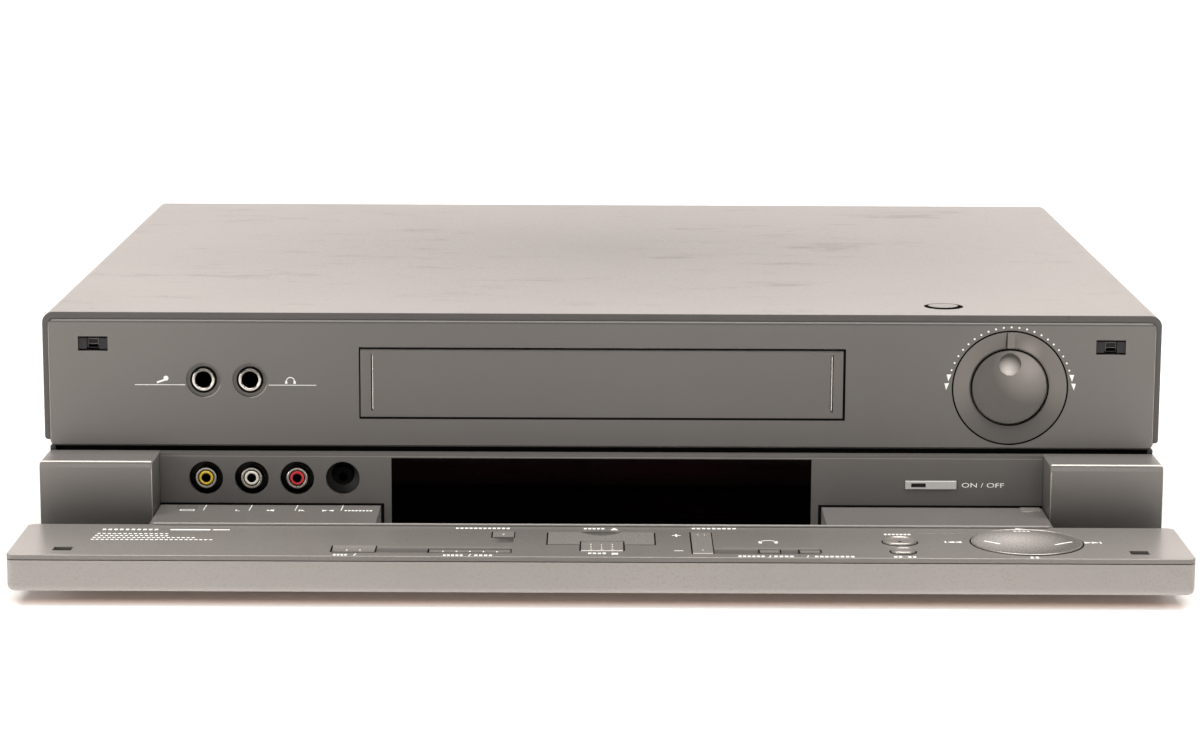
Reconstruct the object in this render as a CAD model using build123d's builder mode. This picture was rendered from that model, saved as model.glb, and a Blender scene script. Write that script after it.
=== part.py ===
from build123d import *
import os
from math import cos, radians, sin

# A front-loading video cassette recorder with its fold-down control flap open.
# Millimetres. +X is to the right as seen from the front, +Y to the rear, +Z up.
# The origin is the centre of the footprint of the whole machine, on the table.
# Places in front of or behind the panel face are given as a "reach": positive
# towards the viewer, negative into the machine.

# ---------------------------------------------------------------- case
width = 440.0  # over the hood
height = 96.0  # table to the top of the hood
body_depth = 335.6  # panel face to the rear edge of the hood
flap_reach = 91.4  # panel face to the front edge of the open flap
seam = 0.15  # gap between fixed mouldings that meet
running_gap = 0.05  # radial clearance of a shaft in its bearing
foot_height = 8.0
foot_radius = 11.0
foot_edge = 1.5
foot_inset_x = 38.0
foot_inset_y = 30.0

hood_top_wall = 2.6
hood_side_wall = 2.0
hood_side_height = 51.0
hood_corner = 4.3
hood_lower_corner = 1.4
hood_setback = 1.0  # front edge of the hood behind the panel face
vent_count = 14
vent_pitch = 6.0
vent_width = 2.4
vent_length = 18.0
vent_from_edge = 9.0

tray_wall = 2.0
tray_floor = 2.0
tray_upstand = 42.0  # height of the side walls behind the front panel
floor_slot_count = 12
floor_slot_pitch = 12.0
floor_slot_length = 40.0
floor_slot_width = 3.0

rear_recess = 8.0  # rear panel set into the case
rear_sheet = 1.5

# ---------------------------------------------------------------- upper front panel
panel_height = 50.55
panel_thickness = 2.6
panel_edge = 0.7
panel_flange_depth = 13.0
panel_flange_wall = 1.8

door_width = 190.0
door_height = 27.2
door_gap = 0.6
door_thickness = 2.4
door_below_top = 13.4  # hood top to the top of the door opening
door_knuckle = 1.25  # radius of the rounded hinge edge
door_pin_radius = 0.8
door_pin_length = 2.6
door_ear = 4.0
door_groove_from_centre = 90.4
door_groove_width = 0.9
door_groove_length = 22.2
door_groove_depth = 0.5

dial_from_side = 59.2  # hood side to the dial's axis
dial_below_top = 28.7
ring_radius = 22.4
jog_radius = 15.05
dial_gap = 0.4
ring_dish = 1.5  # how far the ring slopes in from its rim
ring_thickness = 2.6
pointer_width = 2.9
jog_dish = 0.5
dimple_radius = 4.4
dimple_offset = 9.1
dimple_depth = 1.5
dial_shaft_radius = 3.0
bushing_radius = 7.0
ring_hub_wall = 2.0
encoder_reach = -18.0
encoder_size = 24.0
encoder_depth = 13.4
encoder_plate_width = 56.0
encoder_plate_height = 42.0
encoder_post_radius = 2.5

phone_jacks_from_side = 72.25
phone_jack_pitch = 18.3
phone_jack_below_top = 26.75
phone_jack_ring = 5.1
phone_jack_bore = 3.25
phone_jack_dish = 6.85
phone_jack_dish_depth = 1.2
phone_jack_body = 6.5
phone_jack_length = 30.0
phone_jack_nose = 0.6  # bushing short of the panel face

latch_from_side = 19.9
latch_below_top = 12.4
latch_width = 11.7
latch_height = 5.8
latch_wall = 1.2
latch_depth = 24.0
latch_mouth = 9.0  # wide part of the latch socket
plunger_width = 4.6
plunger_height = 4.2
plunger_gap = 0.25
plunger_recess = 1.5
plunger_length = 21.0

release_from_side = 83.6
release_behind_face = 23.4
release_radius = 7.5
release_gap = 0.35
release_flange = 1.5

# ---------------------------------------------------------------- lower bezel and jacks
bezel_gap = 1.8  # dark gap between the panel and the bezel
bezel_wall = 2.4
block_reach = 25.5
recess_reach = 4.8
block_from_side = 45.8  # hood side to the inner face of an end block
block_edge_top = 1.6
block_edge_front = 0.8

display_width = 165.0
display_above_foot = 4.3
display_below_bezel_top = 2.0
display_gap = 0.2
display_flange = 2.0
display_flange_thickness = 1.2
display_tube_width = 122.0
display_tube_margin = 4.8
display_tube_thickness = 6.0

jack_first_from_side = 64.1
jack_pitch = 17.96
jack_count = 4
jack_below_bezel_top = 10.0
jack_hole = 6.7
jack_body = 8.2
barrel_radius = 4.15
barrel_bore = 3.2
insert_radius = 2.6
insert_bore = 1.7
barrel_length = 9.0
edit_socket_radius = 4.3
edit_socket_bore = 1.8
front_board_reach = -14.0

standby_from_side = 90.0
standby_below_bezel_top = 11.75
standby_width = 20.2
standby_height = 3.4
standby_rise = 0.6
standby_gap = 0.2
standby_flange = 1.0

# ---------------------------------------------------------------- control flap
flap_length = 50.6
flap_thickness = 14.2
flap_side_gap = 0.3  # flap side in from the hood side
flap_underside = 6.2  # above the table when open
flap_over_bezel = 2.0  # gap above the bezel when closed
flap_wall = 2.0
flap_corner = 3.0
flap_edge = 2.5
plate_thickness = 1.85
plate_line = 0.35  # dark line between the plate and the shell
arm_inner_x = 86.9
arm_gap = 0.6
arm_rear_gap = 1.2
arm_rear_round = 6.0
arm_top_round = 0.8
arm_wall = 2.2
arm_cavity_gap = 7.0  # solid end of an arm in front of the hinge axis
hinge_pin_radius = 2.5
hinge_pin_length = 12.0
hinge_boss_wall = 2.5
post_from_side = 11.7
posts_in_row = 5
board_posts_in_row = 4
post_radius = 2.0

# Keys on the flap: X from, X to, reach from, reach to.
eject_area = (-20.0, 20.0, 52.4, 72.4)
stop_area = (-7.5, 8.3, 67.4, 82.0)
programme_area = (34.1, 41.65, 51.4, 85.8)
menu_area = (-100.0, -84.0, 75.3, 85.0)
index_area = (-63.8, -33.6, 80.0, 86.0)
dubbing_area = (-41.0, -33.0, 52.0, 61.0)
stereo_area = (59.0, 66.5, 79.0, 83.4)
select_area = (73.9, 81.6, 79.0, 83.4)
key_gap = 0.25
key_rise = 0.25
key_tab = 0.8
key_tab_thickness = 0.9
key_travel = 0.6
key_stem_radius = 1.2
scoop_radius = 25.0
scoop_depth = 1.4
scoop_reach = 54.5
channel_radius = 20.0
channel_depth = 0.65
channel_reach = 81.0
dubbing_hollow_length = 8.0
dubbing_hollow_depth = 1.3
rocker_pin_radius = 1.0
rocker_pin_length = 1.6
rocker_axis_below_top = 3.8
rocker_ear = 2.2

record_from_side = 107.6
record_reach = 66.0
record_radius = 6.35
speed_from_side = 107.7
speed_reach = 81.5
speed_radius = 4.6
round_key_rim = 1.3
round_key_rise = 0.9
round_key_dish = 0.7
pad_from_side = 59.8
pad_reach = 66.0
pad_radius = 20.9
pad_gap = 0.3
pad_edge_rise = 0.3
pad_dome = 1.3
pad_below = 0.6  # pad underside below the plate underside
gimbal_radius = 18.5
gimbal_inner = 14.5
gimbal_thickness = 2.4
gimbal_below = 1.6  # gimbal top below the plate underside
gimbal_pin_radius = 0.7
gimbal_ear_wall = 1.6

board_thickness = 1.6
flap_board_lift = 2.2  # board above the shell floor
flap_board_before_menu = 8.0
flap_board_past_pad = 6.9
flap_board_margin = 4.8

# ---------------------------------------------------------------- tape mechanism
cassette_width = 188.0
cassette_height = 25.0
cassette_play = 0.8
reel_pitch = 92.0
reel_from_lid = 54.0
deck_z = 26.0
deck_thickness = 1.6
deck_half_width = 106.0
deck_front = 30.0
deck_rear = 222.0
deck_leg_radius = 4.0
deck_leg_inset = 8.0
holder_sheet = 1.0
holder_front = 30.0  # behind the panel face, with the cassette out
holder_length = 54.0
holder_ledge = 12.0
holder_above_opening = 0.2
load_travel = 62.0
drop_travel = 19.0
lift_pin_radius = 1.5
slider_below_pin = 4.5
lift_pin_pitch = 24.0
lift_pin_below_holder_top = 8.0
slider_gap = 0.3
slider_sheet = 1.0
slider_length = 40.0
slider_bar_width = 10.0
slider_bar_gap = 1.6
rail_pin_pitch = 32.0
rail_pin_above_deck = 34.0
frame_sheet = 1.2
frame_foot = 7.0
frame_above_rail = 14.0
drum_radius = 31.0
drum_tilt = 5.97
drum_behind_lid = 42.0
drum_lower_height = 18.0
drum_upper_height = 18.0
drum_gap = 0.4
drum_base_radius = 16.0
drum_above_deck = 4.0
drum_shaft_radius = 2.5
drum_shaft_length = 14.0
capstan_x = 62.0
capstan_behind_lid = 5.0
capstan_radius = 2.0
capstan_above_deck = 32.0
capstan_bearing_radius = 5.5
capstan_bearing_height = 5.0
stator_radius = 26.0
stator_thickness = 3.0
flywheel_radius = 24.0
flywheel_thickness = 6.5
flywheel_gap = 0.6
pinch_radius = 7.0
pinch_height = 15.0
pinch_closing_gap = 0.3
pinch_arm_length = 23.0
pinch_swing = 25.0
pinch_arm_thickness = 2.0
pinch_arm_above_deck = 6.0
pinch_boss_radius = 4.5
pivot_post_radius = 2.0
pivot_post_height = 9.0
roller_axle_radius = 1.5
reel_disc_radius = 15.0
reel_disc_thickness = 3.0
reel_hub_radius = 5.0
reel_fin_count = 3
reel_post_radius = 1.5
reel_post_height = 14.0
reel_height = 20.0
reel_lift = 1.2
guide_radius = 3.0
guide_height = 34.0
head_width = 9.0
head_depth = 6.0

# ---------------------------------------------------------------- electronics and rear
main_board_from_deck = 6.0
main_board_from_face = 60.0
board_side_gap = 2.0
board_lift = 4.0
board_leg_radius = 3.0
board_leg_inset = 6.0
supply_length = 150.0
transformer_size = 46.0
transformer_height = 34.5
chip_pitch = 28.0
chip_length = 18.0
chip_width = 9.0
chip_height = 4.0
chip_columns = 3
chip_rows = 4
chips_from_front = 87.0
fin_count = 7
capacitor_edge = 1.5
capacitor_radius = 11.0
capacitor_pitch = 33.0
capacitor_height = 30.0
tuner_from_side = 70.0
tuner_width = 60.0
tuner_length = 42.0
tuner_height = 24.0
aerial_pitch = 28.0
aerial_radius = 4.7
aerial_bore = 3.6
aerial_length = 11.0
scart_x = -20.0
scart_pitch = 62.0
scart_width = 47.0
scart_height = 14.0
scart_wall = 1.4
scart_depth = 14.0
scart_z = 42.0
contact_angle = 37.5
contact_width = 31.4
contact_height = 4.6
inlet_from_side = 52.0
inlet_z = 32.0
inlet_width = 17.0
inlet_height = 10.0
inlet_wall = 1.8
inlet_depth = 16.0
inlet_pin_radius = 1.2
inlet_pin_pitch = 8.6
socket_flange = 2.5
socket_gap = 0.25

# ---------------------------------------------------------------- derived places
dial_x = width / 2 - dial_from_side
phone_jack_x = phone_jacks_from_side - width / 2
latch_x = width / 2 - latch_from_side
release_x = width / 2 - release_from_side
block_inner_x = width / 2 - block_from_side
jack_first_x = jack_first_from_side - width / 2
standby_x = width / 2 - standby_from_side
record_x = width / 2 - record_from_side
speed_x = width / 2 - speed_from_side
pad_x = width / 2 - pad_from_side
tuner_x = width / 2 - tuner_from_side
inlet_x = inlet_from_side - width / 2
total_depth = flap_reach + body_depth
face_y = flap_reach - total_depth / 2
rear_y = total_depth / 2
hood_inner_top = height - hood_top_wall
hood_inner_half = width / 2 - hood_side_wall
hood_inner_corner = hood_corner - hood_side_wall
hood_bottom = height - hood_side_height
tray_half = hood_inner_half - seam
floor_top = foot_height + tray_floor
panel_top = hood_inner_top - seam
panel_bottom = panel_top - panel_height
panel_corner = hood_inner_corner - seam
panel_half = hood_inner_half - seam
bezel_top = panel_bottom - bezel_gap
flap_half = width / 2 - flap_side_gap
flap_rear = flap_reach - flap_length
flap_top = flap_underside + flap_thickness
plate_underside = flap_top - plate_thickness
shell_top = plate_underside - plate_line
shell_floor = flap_underside + flap_wall
# A quarter turn has to bring the flap's outside flush with the blocks and its
# rear edge just above the bezel: two conditions that fix the hinge axis.
hinge_sum = block_reach + flap_underside
hinge_difference = bezel_top + flap_over_bezel - flap_rear
hinge_z = (hinge_sum + hinge_difference) / 2
hinge_reach = (hinge_sum - hinge_difference) / 2
arm_rear = recess_reach + arm_rear_gap
arm_outer_x = block_inner_x - arm_gap
latch_z = height - latch_below_top
strike_reach = hinge_reach + latch_z - hinge_z
dial_z = height - dial_below_top
door_top = height - door_below_top - door_gap
door_bottom = door_top - door_height
door_axis_z = door_top - door_knuckle
phone_jack_z = height - phone_jack_below_top
jack_z = bezel_top - jack_below_bezel_top
standby_z = bezel_top - standby_below_bezel_top
display_top = bezel_top - display_below_bezel_top
display_bottom = foot_height + display_above_foot
display_height = display_top - display_bottom
flap_board_from = menu_area[0] - flap_board_before_menu
flap_board_to = pad_x + pad_radius + flap_board_past_pad
flap_board_z = shell_floor + flap_board_lift
flap_board_top = flap_board_z + board_thickness
gimbal_top = plate_underside - gimbal_below
rocker_axis_z = flap_top - rocker_axis_below_top
key_bottom = plate_underside - key_tab_thickness
key_height = flap_top + key_rise - key_bottom
stem_end_z = flap_board_top + key_travel + key_gap
deck_top = deck_z + deck_thickness
lid_behind_face = holder_front + holder_length + load_travel - holder_sheet
reel_behind_face = lid_behind_face - reel_from_lid
drum_behind_face = lid_behind_face + drum_behind_lid
capstan_behind_face = lid_behind_face + capstan_behind_lid
holder_floor_z = door_bottom - door_gap + holder_above_opening - holder_sheet
holder_top_z = holder_floor_z + holder_sheet + cassette_height + cassette_play / 2 + holder_sheet
holder_half = cassette_width / 2 + cassette_play + holder_sheet
slider_inner = holder_half + slider_gap
slider_outer = slider_inner + slider_sheet
frame_inner = slider_outer + slider_gap
frame_outer = frame_inner + frame_sheet
slider_middle = holder_front + holder_length / 2
lift_pin_z = holder_top_z - lift_pin_below_holder_top
rail_z = deck_top + rail_pin_above_deck
main_board_inner_x = deck_half_width + main_board_from_deck
main_board_z = floor_top + board_lift
board_half = tray_half - tray_wall - board_side_gap
rear_panel_y = rear_y - rear_recess
board_rear_y = rear_panel_y - rear_sheet - board_side_gap
main_board_front = face_y + main_board_from_face
main_board_length = board_rear_y - main_board_front
supply_front_y = board_rear_y - supply_length


def reach_y(reach):
    """Y of a point a given reach in front of the panel face."""
    return face_y - reach


def front_plane(reach):
    """Plane facing the viewer; sketch x is X, sketch y is Z, extrude goes forward."""
    return Plane.XZ.offset(reach - face_y)


def level(z):
    """Horizontal plane; sketch x is X and sketch y is Y."""
    return Plane.XY.offset(z)


def across(x):
    """Plane square to X; sketch x is Y, sketch y is Z, extrude goes to the right."""
    return Plane.YZ.offset(x)


def span(low_x, high_x, low_y, high_y, mode=Mode.ADD):
    """Rectangle between two corners, in the active sketch."""
    with Locations(((low_x + high_x) / 2, (low_y + high_y) / 2)):
        Rectangle(abs(high_x - low_x), abs(high_y - low_y), mode=mode)


def key_outline(area, grow=0.0, mode=Mode.ADD):
    """Outline of a key on the flap, in a horizontal sketch, grown all round."""
    low_x, high_x, low_reach, high_reach = area
    span(
        low_x - grow, high_x + grow,
        reach_y(high_reach + grow), reach_y(low_reach - grow), mode=mode,
    )


def middle(area):
    """X and Y of the middle of a key on the flap."""
    low_x, high_x, low_reach, high_reach = area
    return (low_x + high_x) / 2, reach_y((low_reach + high_reach) / 2)


def half_way_rise(radius, rise):
    """Height above its rim of a shallow spherical dome, half way out from the middle."""
    sphere = (radius**2 + rise**2) / (2 * rise)
    return rise - sphere + (sphere**2 - radius**2 / 4) ** 0.5


def finger_channel(low_x, high_x, lift=0.0):
    """Shallow round channel along X in the top of the flap."""
    with BuildSketch(across(low_x)) as channel:
        with Locations((reach_y(channel_reach), flap_top + channel_radius - channel_depth + lift)):
            Circle(channel_radius)
    extrude(channel.sketch, amount=high_x - low_x, mode=Mode.SUBTRACT)


def key_stem(x, y):
    """Round stem from the underside of a key to just short of the switch board."""
    with BuildSketch(level(key_bottom)) as stem:
        with Locations((x, y)):
            Circle(key_stem_radius)
    extrude(stem.sketch, amount=stem_end_z - key_bottom)


def key_tabs(area, low_reach, high_reach):
    """Tabs at both ends of a key that stop it under the plate."""
    with BuildSketch(level(key_bottom)) as tabs:
        span(area[0] - key_tab, area[1] + key_tab, reach_y(high_reach), reach_y(low_reach))
    extrude(tabs.sketch, amount=key_tab_thickness)


# ------------------------------------------------------------------ hood, tray, feet
with BuildPart() as top_cover:
    # One U-shaped hood: roof and two side walls.
    with BuildSketch(front_plane(-hood_setback)) as hood_profile:
        span(-width / 2, width / 2, hood_bottom, height)
        fillet(hood_profile.vertices().group_by(Axis.Y)[-1], hood_corner)
        fillet(hood_profile.vertices().group_by(Axis.Y)[0], hood_lower_corner)
    extrude(amount=hood_setback - body_depth)
    with BuildSketch(front_plane(-hood_setback)) as hood_inside:
        span(-hood_inner_half, hood_inner_half, hood_bottom, hood_inner_top)
        fillet(hood_inside.vertices().group_by(Axis.Y)[-1], hood_inner_corner)
    extrude(amount=hood_setback - body_depth, mode=Mode.SUBTRACT)
    with BuildSketch(level(hood_inner_top)):
        with Locations((release_x, reach_y(-release_behind_face))):
            Circle(release_radius + release_gap)
    extrude(amount=hood_top_wall, mode=Mode.SUBTRACT)
    vent_y = rear_y - rear_recess - vent_from_edge - vent_count * vent_pitch / 2
    vent_z = hood_bottom + vent_length
    with BuildSketch(across(-width / 2)):
        with Locations((vent_y, vent_z)):
            with GridLocations(vent_pitch, 0, vent_count, 1):
                SlotOverall(vent_length, vent_width, rotation=90)
    extrude(amount=width, mode=Mode.SUBTRACT)

with BuildPart() as base_tray:
    tray_front = reach_y(-seam)
    step_y = reach_y(-panel_flange_depth - seam)
    with BuildSketch(level(foot_height)):
        span(-tray_half, tray_half, tray_front, rear_y)
    extrude(amount=tray_floor)
    # Side walls, low beneath the front panel and higher behind its flange.
    for wall_x in (-tray_half, tray_half - tray_wall):
        with BuildSketch(across(wall_x)):
            span(tray_front, rear_y, foot_height, panel_bottom - seam)
            span(step_y, rear_y, foot_height, foot_height + tray_upstand)
        extrude(amount=tray_wall)
    # Cooling slots through the floor.
    with BuildSketch(level(foot_height)):
        with Locations((0, rear_panel_y - floor_slot_length)):
            with GridLocations(floor_slot_pitch, 0, floor_slot_count, 1):
                SlotOverall(floor_slot_length, floor_slot_width, rotation=90)
    extrude(amount=tray_floor, mode=Mode.SUBTRACT)

with BuildPart() as foot_pads:
    with BuildSketch(level(0)):
        with Locations((0, (tray_front + rear_y) / 2)):
            with GridLocations(
                2 * (tray_half - foot_inset_x), rear_y - tray_front - 2 * foot_inset_y, 2, 2
            ):
                Circle(foot_radius)
    extrude(amount=foot_height)
    chamfer(foot_pads.edges().group_by(Axis.Z)[0], foot_edge)

# ------------------------------------------------------------------ upper front panel
door_opening_half = door_width / 2 + door_gap
with BuildPart() as front_panel:
    with BuildSketch(front_plane(-panel_thickness)) as panel_outline:
        span(-panel_half, panel_half, panel_bottom, panel_top)
        fillet(panel_outline.vertices(), panel_corner)
    extrude(amount=panel_thickness)
    chamfer(front_panel.faces().sort_by(Axis.Y)[0].edges(), panel_edge)
    # Flange that runs back inside the hood.
    with BuildSketch(front_plane(-panel_flange_depth)) as flange_outline:
        span(-panel_half, panel_half, panel_bottom, panel_top)
        fillet(flange_outline.vertices(), panel_corner)
        offset(amount=-panel_flange_wall, mode=Mode.SUBTRACT)
    extrude(amount=panel_flange_depth - panel_thickness)
    # Ears that hold the hinge pins of the cassette door.
    for side in (-1, 1):
        with BuildSketch(across(side * (door_opening_half + door_ear / 2))):
            span(
                reach_y(-door_knuckle), reach_y(-door_knuckle - door_ear),
                door_axis_z - door_ear / 2, door_axis_z + door_ear / 2,
            )
        extrude(amount=door_ear / 2, both=True)
    # Posts behind the panel that carry the dial encoder.
    with BuildSketch(front_plane(-panel_thickness)):
        with Locations((dial_x, dial_z)):
            with GridLocations(
                encoder_plate_width - 2 * encoder_post_radius,
                encoder_plate_height - 2 * encoder_post_radius, 2, 2,
            ):
                Circle(encoder_post_radius)
    extrude(amount=encoder_reach - encoder_depth + panel_thickness)
    # Openings: cassette door, dial, jacks and latches.
    with BuildSketch(front_plane(0)):
        span(
            -door_opening_half, door_opening_half,
            door_bottom - door_gap, door_top + door_gap,
        )
        with Locations((dial_x, dial_z)):
            Circle(ring_radius + dial_gap)
        with Locations((phone_jack_x, phone_jack_z)):
            with GridLocations(phone_jack_pitch, 0, 2, 1):
                Circle(phone_jack_ring + seam)
        with Locations((0, latch_z)):
            with GridLocations(2 * latch_x, 0, 2, 1):
                Rectangle(latch_width, latch_height)
    extrude(amount=-panel_thickness, mode=Mode.SUBTRACT)
    with BuildSketch(front_plane(0)):
        with Locations((phone_jack_x, phone_jack_z)):
            with GridLocations(phone_jack_pitch, 0, 2, 1):
                Circle(phone_jack_dish)
    extrude(amount=-phone_jack_dish_depth, mode=Mode.SUBTRACT)
    # Bores for the door's pins.
    pin_reach = door_pin_length + 2 * door_gap
    for side in (-1, 1):
        with BuildSketch(across(side * door_opening_half)):
            with Locations((reach_y(-door_knuckle), door_axis_z)):
                Circle(door_pin_radius + running_gap)
        extrude(amount=side * (pin_reach - door_gap), mode=Mode.SUBTRACT)

with BuildPart() as cassette_door:
    with BuildSketch(across(-door_width / 2)) as door_section:
        span(reach_y(0), reach_y(-door_thickness), door_bottom, door_top)
        fillet(door_section.vertices().group_by(Axis.Y)[-1], door_thickness / 2 - seam)
    extrude(amount=door_width)
    with BuildSketch(across(-door_width / 2 - door_gap - door_pin_length)):
        with Locations((reach_y(-door_knuckle), door_axis_z)):
            Circle(door_pin_radius)
    extrude(amount=door_width + 2 * (door_gap + door_pin_length))
    with BuildSketch(front_plane(0)):
        with Locations((0, (door_top + door_bottom) / 2)):
            with GridLocations(2 * door_groove_from_centre, 0, 2, 1):
                Rectangle(door_groove_width, door_groove_length)
    extrude(amount=-door_groove_depth, mode=Mode.SUBTRACT)

# ------------------------------------------------------------------ dial
# Half sections of the dial: sketch x is the radius, sketch y the reach.
dial_section = Plane(origin=(dial_x, face_y, dial_z), x_dir=(1, 0, 0), z_dir=(0, 0, -1))
dial_axis = Axis((dial_x, face_y, dial_z), (0, -1, 0))
ring_bore = jog_radius + dial_gap
web_back = -ring_dish - 2 * ring_thickness
web_front = web_back + ring_thickness

with BuildPart() as shuttle_ring:
    hub_inner = bushing_radius + running_gap
    hub_outer = hub_inner + ring_hub_wall
    with BuildSketch(dial_section):
        with BuildLine():
            Polyline(
                (ring_radius, 0),
                (ring_bore, -ring_dish),
                (ring_bore, web_front),
                (hub_inner, web_front),
                (hub_inner, encoder_reach + dial_gap),
                (hub_outer, encoder_reach + dial_gap),
                (hub_outer, web_back),
                (ring_radius, web_back),
                close=True,
            )
        make_face()
    revolve(axis=dial_axis, revolution_arc=360)
    # Pointer bar, level across the sloping ring.
    with BuildSketch(front_plane(-ring_dish)):
        span(
            dial_x - pointer_width / 2, dial_x + pointer_width / 2,
            dial_z + ring_bore + dial_gap, dial_z + ring_radius - dial_gap,
        )
    extrude(amount=ring_dish)

with BuildPart() as jog_dial:
    jog_back = web_front + dial_gap
    with BuildSketch(dial_section):
        with BuildLine():
            jog_rim = Line((jog_radius, -ring_dish + seam), (jog_radius, jog_back))
            jog_steps = Polyline(
                jog_rim @ 1,
                (dial_shaft_radius, jog_back),
                (dial_shaft_radius, encoder_reach - encoder_depth / 2),
                (0, encoder_reach - encoder_depth / 2),
                (0, -ring_dish + seam - jog_dish),
            )
            ThreePointArc(
                jog_steps @ 1,
                (jog_radius / 2, -ring_dish + seam - half_way_rise(jog_radius, jog_dish)),
                jog_rim @ 0,
            )
        make_face()
    revolve(axis=dial_axis, revolution_arc=360)
    # Round finger dimple near the rim.
    dimple_sphere = (dimple_radius**2 + dimple_depth**2) / (2 * dimple_depth)
    with Locations((
        dial_x,
        reach_y(-ring_dish - jog_dish / 2 + dimple_sphere - dimple_depth),
        dial_z + dimple_offset,
    )):
        Sphere(dimple_sphere, mode=Mode.SUBTRACT)

with BuildPart() as dial_encoder:
    # Square body with a hollow bushing, on a plate behind the panel.
    with BuildSketch(front_plane(encoder_reach - encoder_depth)):
        with Locations((dial_x, dial_z)):
            Rectangle(encoder_plate_width, encoder_plate_height)
    extrude(amount=-board_thickness)
    with BuildSketch(front_plane(encoder_reach - encoder_depth)):
        with Locations((dial_x, dial_z)):
            Rectangle(encoder_size, encoder_size)
    extrude(amount=encoder_depth)
    with BuildSketch(front_plane(encoder_reach)):
        with Locations((dial_x, dial_z)):
            Circle(bushing_radius)
    extrude(amount=web_front - dial_gap - encoder_reach)
    with BuildSketch(front_plane(web_front)):
        with Locations((dial_x, dial_z)):
            Circle(dial_shaft_radius + running_gap)
    extrude(amount=encoder_reach - encoder_depth / 2 - dial_gap - web_front, mode=Mode.SUBTRACT)

# ------------------------------------------------------------------ phone jacks
phone_jacks = {}
for jack_name, jack_x in (
    ("microphone_jack", phone_jack_x - phone_jack_pitch / 2),
    ("headphone_jack", phone_jack_x + phone_jack_pitch / 2),
):
    with BuildPart() as phone_jack:
        with BuildSketch(front_plane(-phone_jack_nose)):
            with Locations((jack_x, phone_jack_z)):
                Circle(phone_jack_ring)
        extrude(amount=phone_jack_nose - panel_thickness)
        with BuildSketch(front_plane(-panel_thickness)):
            with Locations((jack_x, phone_jack_z)):
                Rectangle(2 * phone_jack_body, 2 * phone_jack_body)
        extrude(amount=-phone_jack_length)
        with BuildSketch(front_plane(-phone_jack_nose)):
            with Locations((jack_x, phone_jack_z)):
                Circle(phone_jack_bore)
        extrude(amount=-phone_jack_length, mode=Mode.SUBTRACT)
        rim = phone_jack.edges().filter_by(GeomType.CIRCLE).group_by(Axis.Y)[0]
        chamfer(rim, seam)
    phone_jacks[jack_name] = phone_jack

# ------------------------------------------------------------------ flap latches
with BuildPart() as latch_sockets:
    for side in (-1, 1):
        with BuildSketch(front_plane(-panel_thickness)):
            with Locations((side * latch_x, latch_z)):
                Rectangle(latch_width + 2 * latch_wall, latch_height + 2 * latch_wall)
        extrude(amount=-latch_depth)
        with BuildSketch(front_plane(-panel_thickness)):
            with Locations((side * latch_x, latch_z)):
                Rectangle(latch_width, latch_height)
        extrude(amount=-latch_mouth, mode=Mode.SUBTRACT)
        # Narrow guide behind the mouth.
        with BuildSketch(front_plane(-panel_thickness)):
            with Locations((side * latch_x, latch_z)):
                Rectangle(plunger_width + 2 * plunger_gap, plunger_height + 2 * plunger_gap)
        extrude(amount=-latch_depth, mode=Mode.SUBTRACT)

latches = {}
for latch_name, side in (("left_latch", -1), ("right_latch", 1)):
    with BuildPart() as latch:
        with BuildSketch(front_plane(-plunger_recess)):
            with Locations((side * latch_x, latch_z)):
                Rectangle(plunger_width, plunger_height)
        extrude(amount=-plunger_length)
        nose = latch.faces().sort_by(Axis.Y)[0]
        chamfer(nose.edges(), seam)
    latches[latch_name] = latch

# ------------------------------------------------------------------ button in the hood
with BuildPart() as release_button:
    with BuildSketch(level(hood_inner_top)):
        with Locations((release_x, reach_y(-release_behind_face))):
            Circle(release_radius)
    extrude(amount=hood_top_wall)
    chamfer(release_button.edges().group_by(Axis.Z)[-1], release_gap)
    with BuildSketch(level(hood_inner_top)):
        with Locations((release_x, reach_y(-release_behind_face))):
            Circle(release_radius + release_flange)
    extrude(amount=-release_flange)

# ------------------------------------------------------------------ lower bezel
end_blocks = {}
for block_name, side in (("left_end_block", -1), ("right_end_block", 1)):
    with BuildPart() as end_block:
        with BuildSketch(front_plane(0)):
            span(side * block_inner_x, side * panel_half, foot_height, bezel_top)
        extrude(amount=block_reach)
        top_front = end_block.edges().filter_by(Axis.X).group_by(Axis.Z)[-1].sort_by(Axis.Y)[0]
        chamfer(top_front, block_edge_front, block_edge_top)
        # Hollow, open to the rear.
        with BuildSketch(front_plane(0)):
            span(
                side * (block_inner_x + bezel_wall), side * (panel_half - bezel_wall),
                foot_height + bezel_wall, bezel_top - bezel_wall,
            )
        extrude(amount=block_reach - bezel_wall, mode=Mode.SUBTRACT)
        # Boss and bore for the hinge pin of the flap.
        boss_length = hinge_pin_length + bezel_wall
        with BuildSketch(across(side * block_inner_x)):
            with Locations((reach_y(hinge_reach), hinge_z)):
                Circle(hinge_pin_radius + hinge_boss_wall)
        extrude(amount=side * boss_length)
        with BuildSketch(across(side * block_inner_x)):
            with Locations((reach_y(hinge_reach), hinge_z)):
                Circle(hinge_pin_radius + running_gap)
        extrude(amount=side * hinge_pin_length, mode=Mode.SUBTRACT)
    end_blocks[block_name] = end_block

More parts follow.
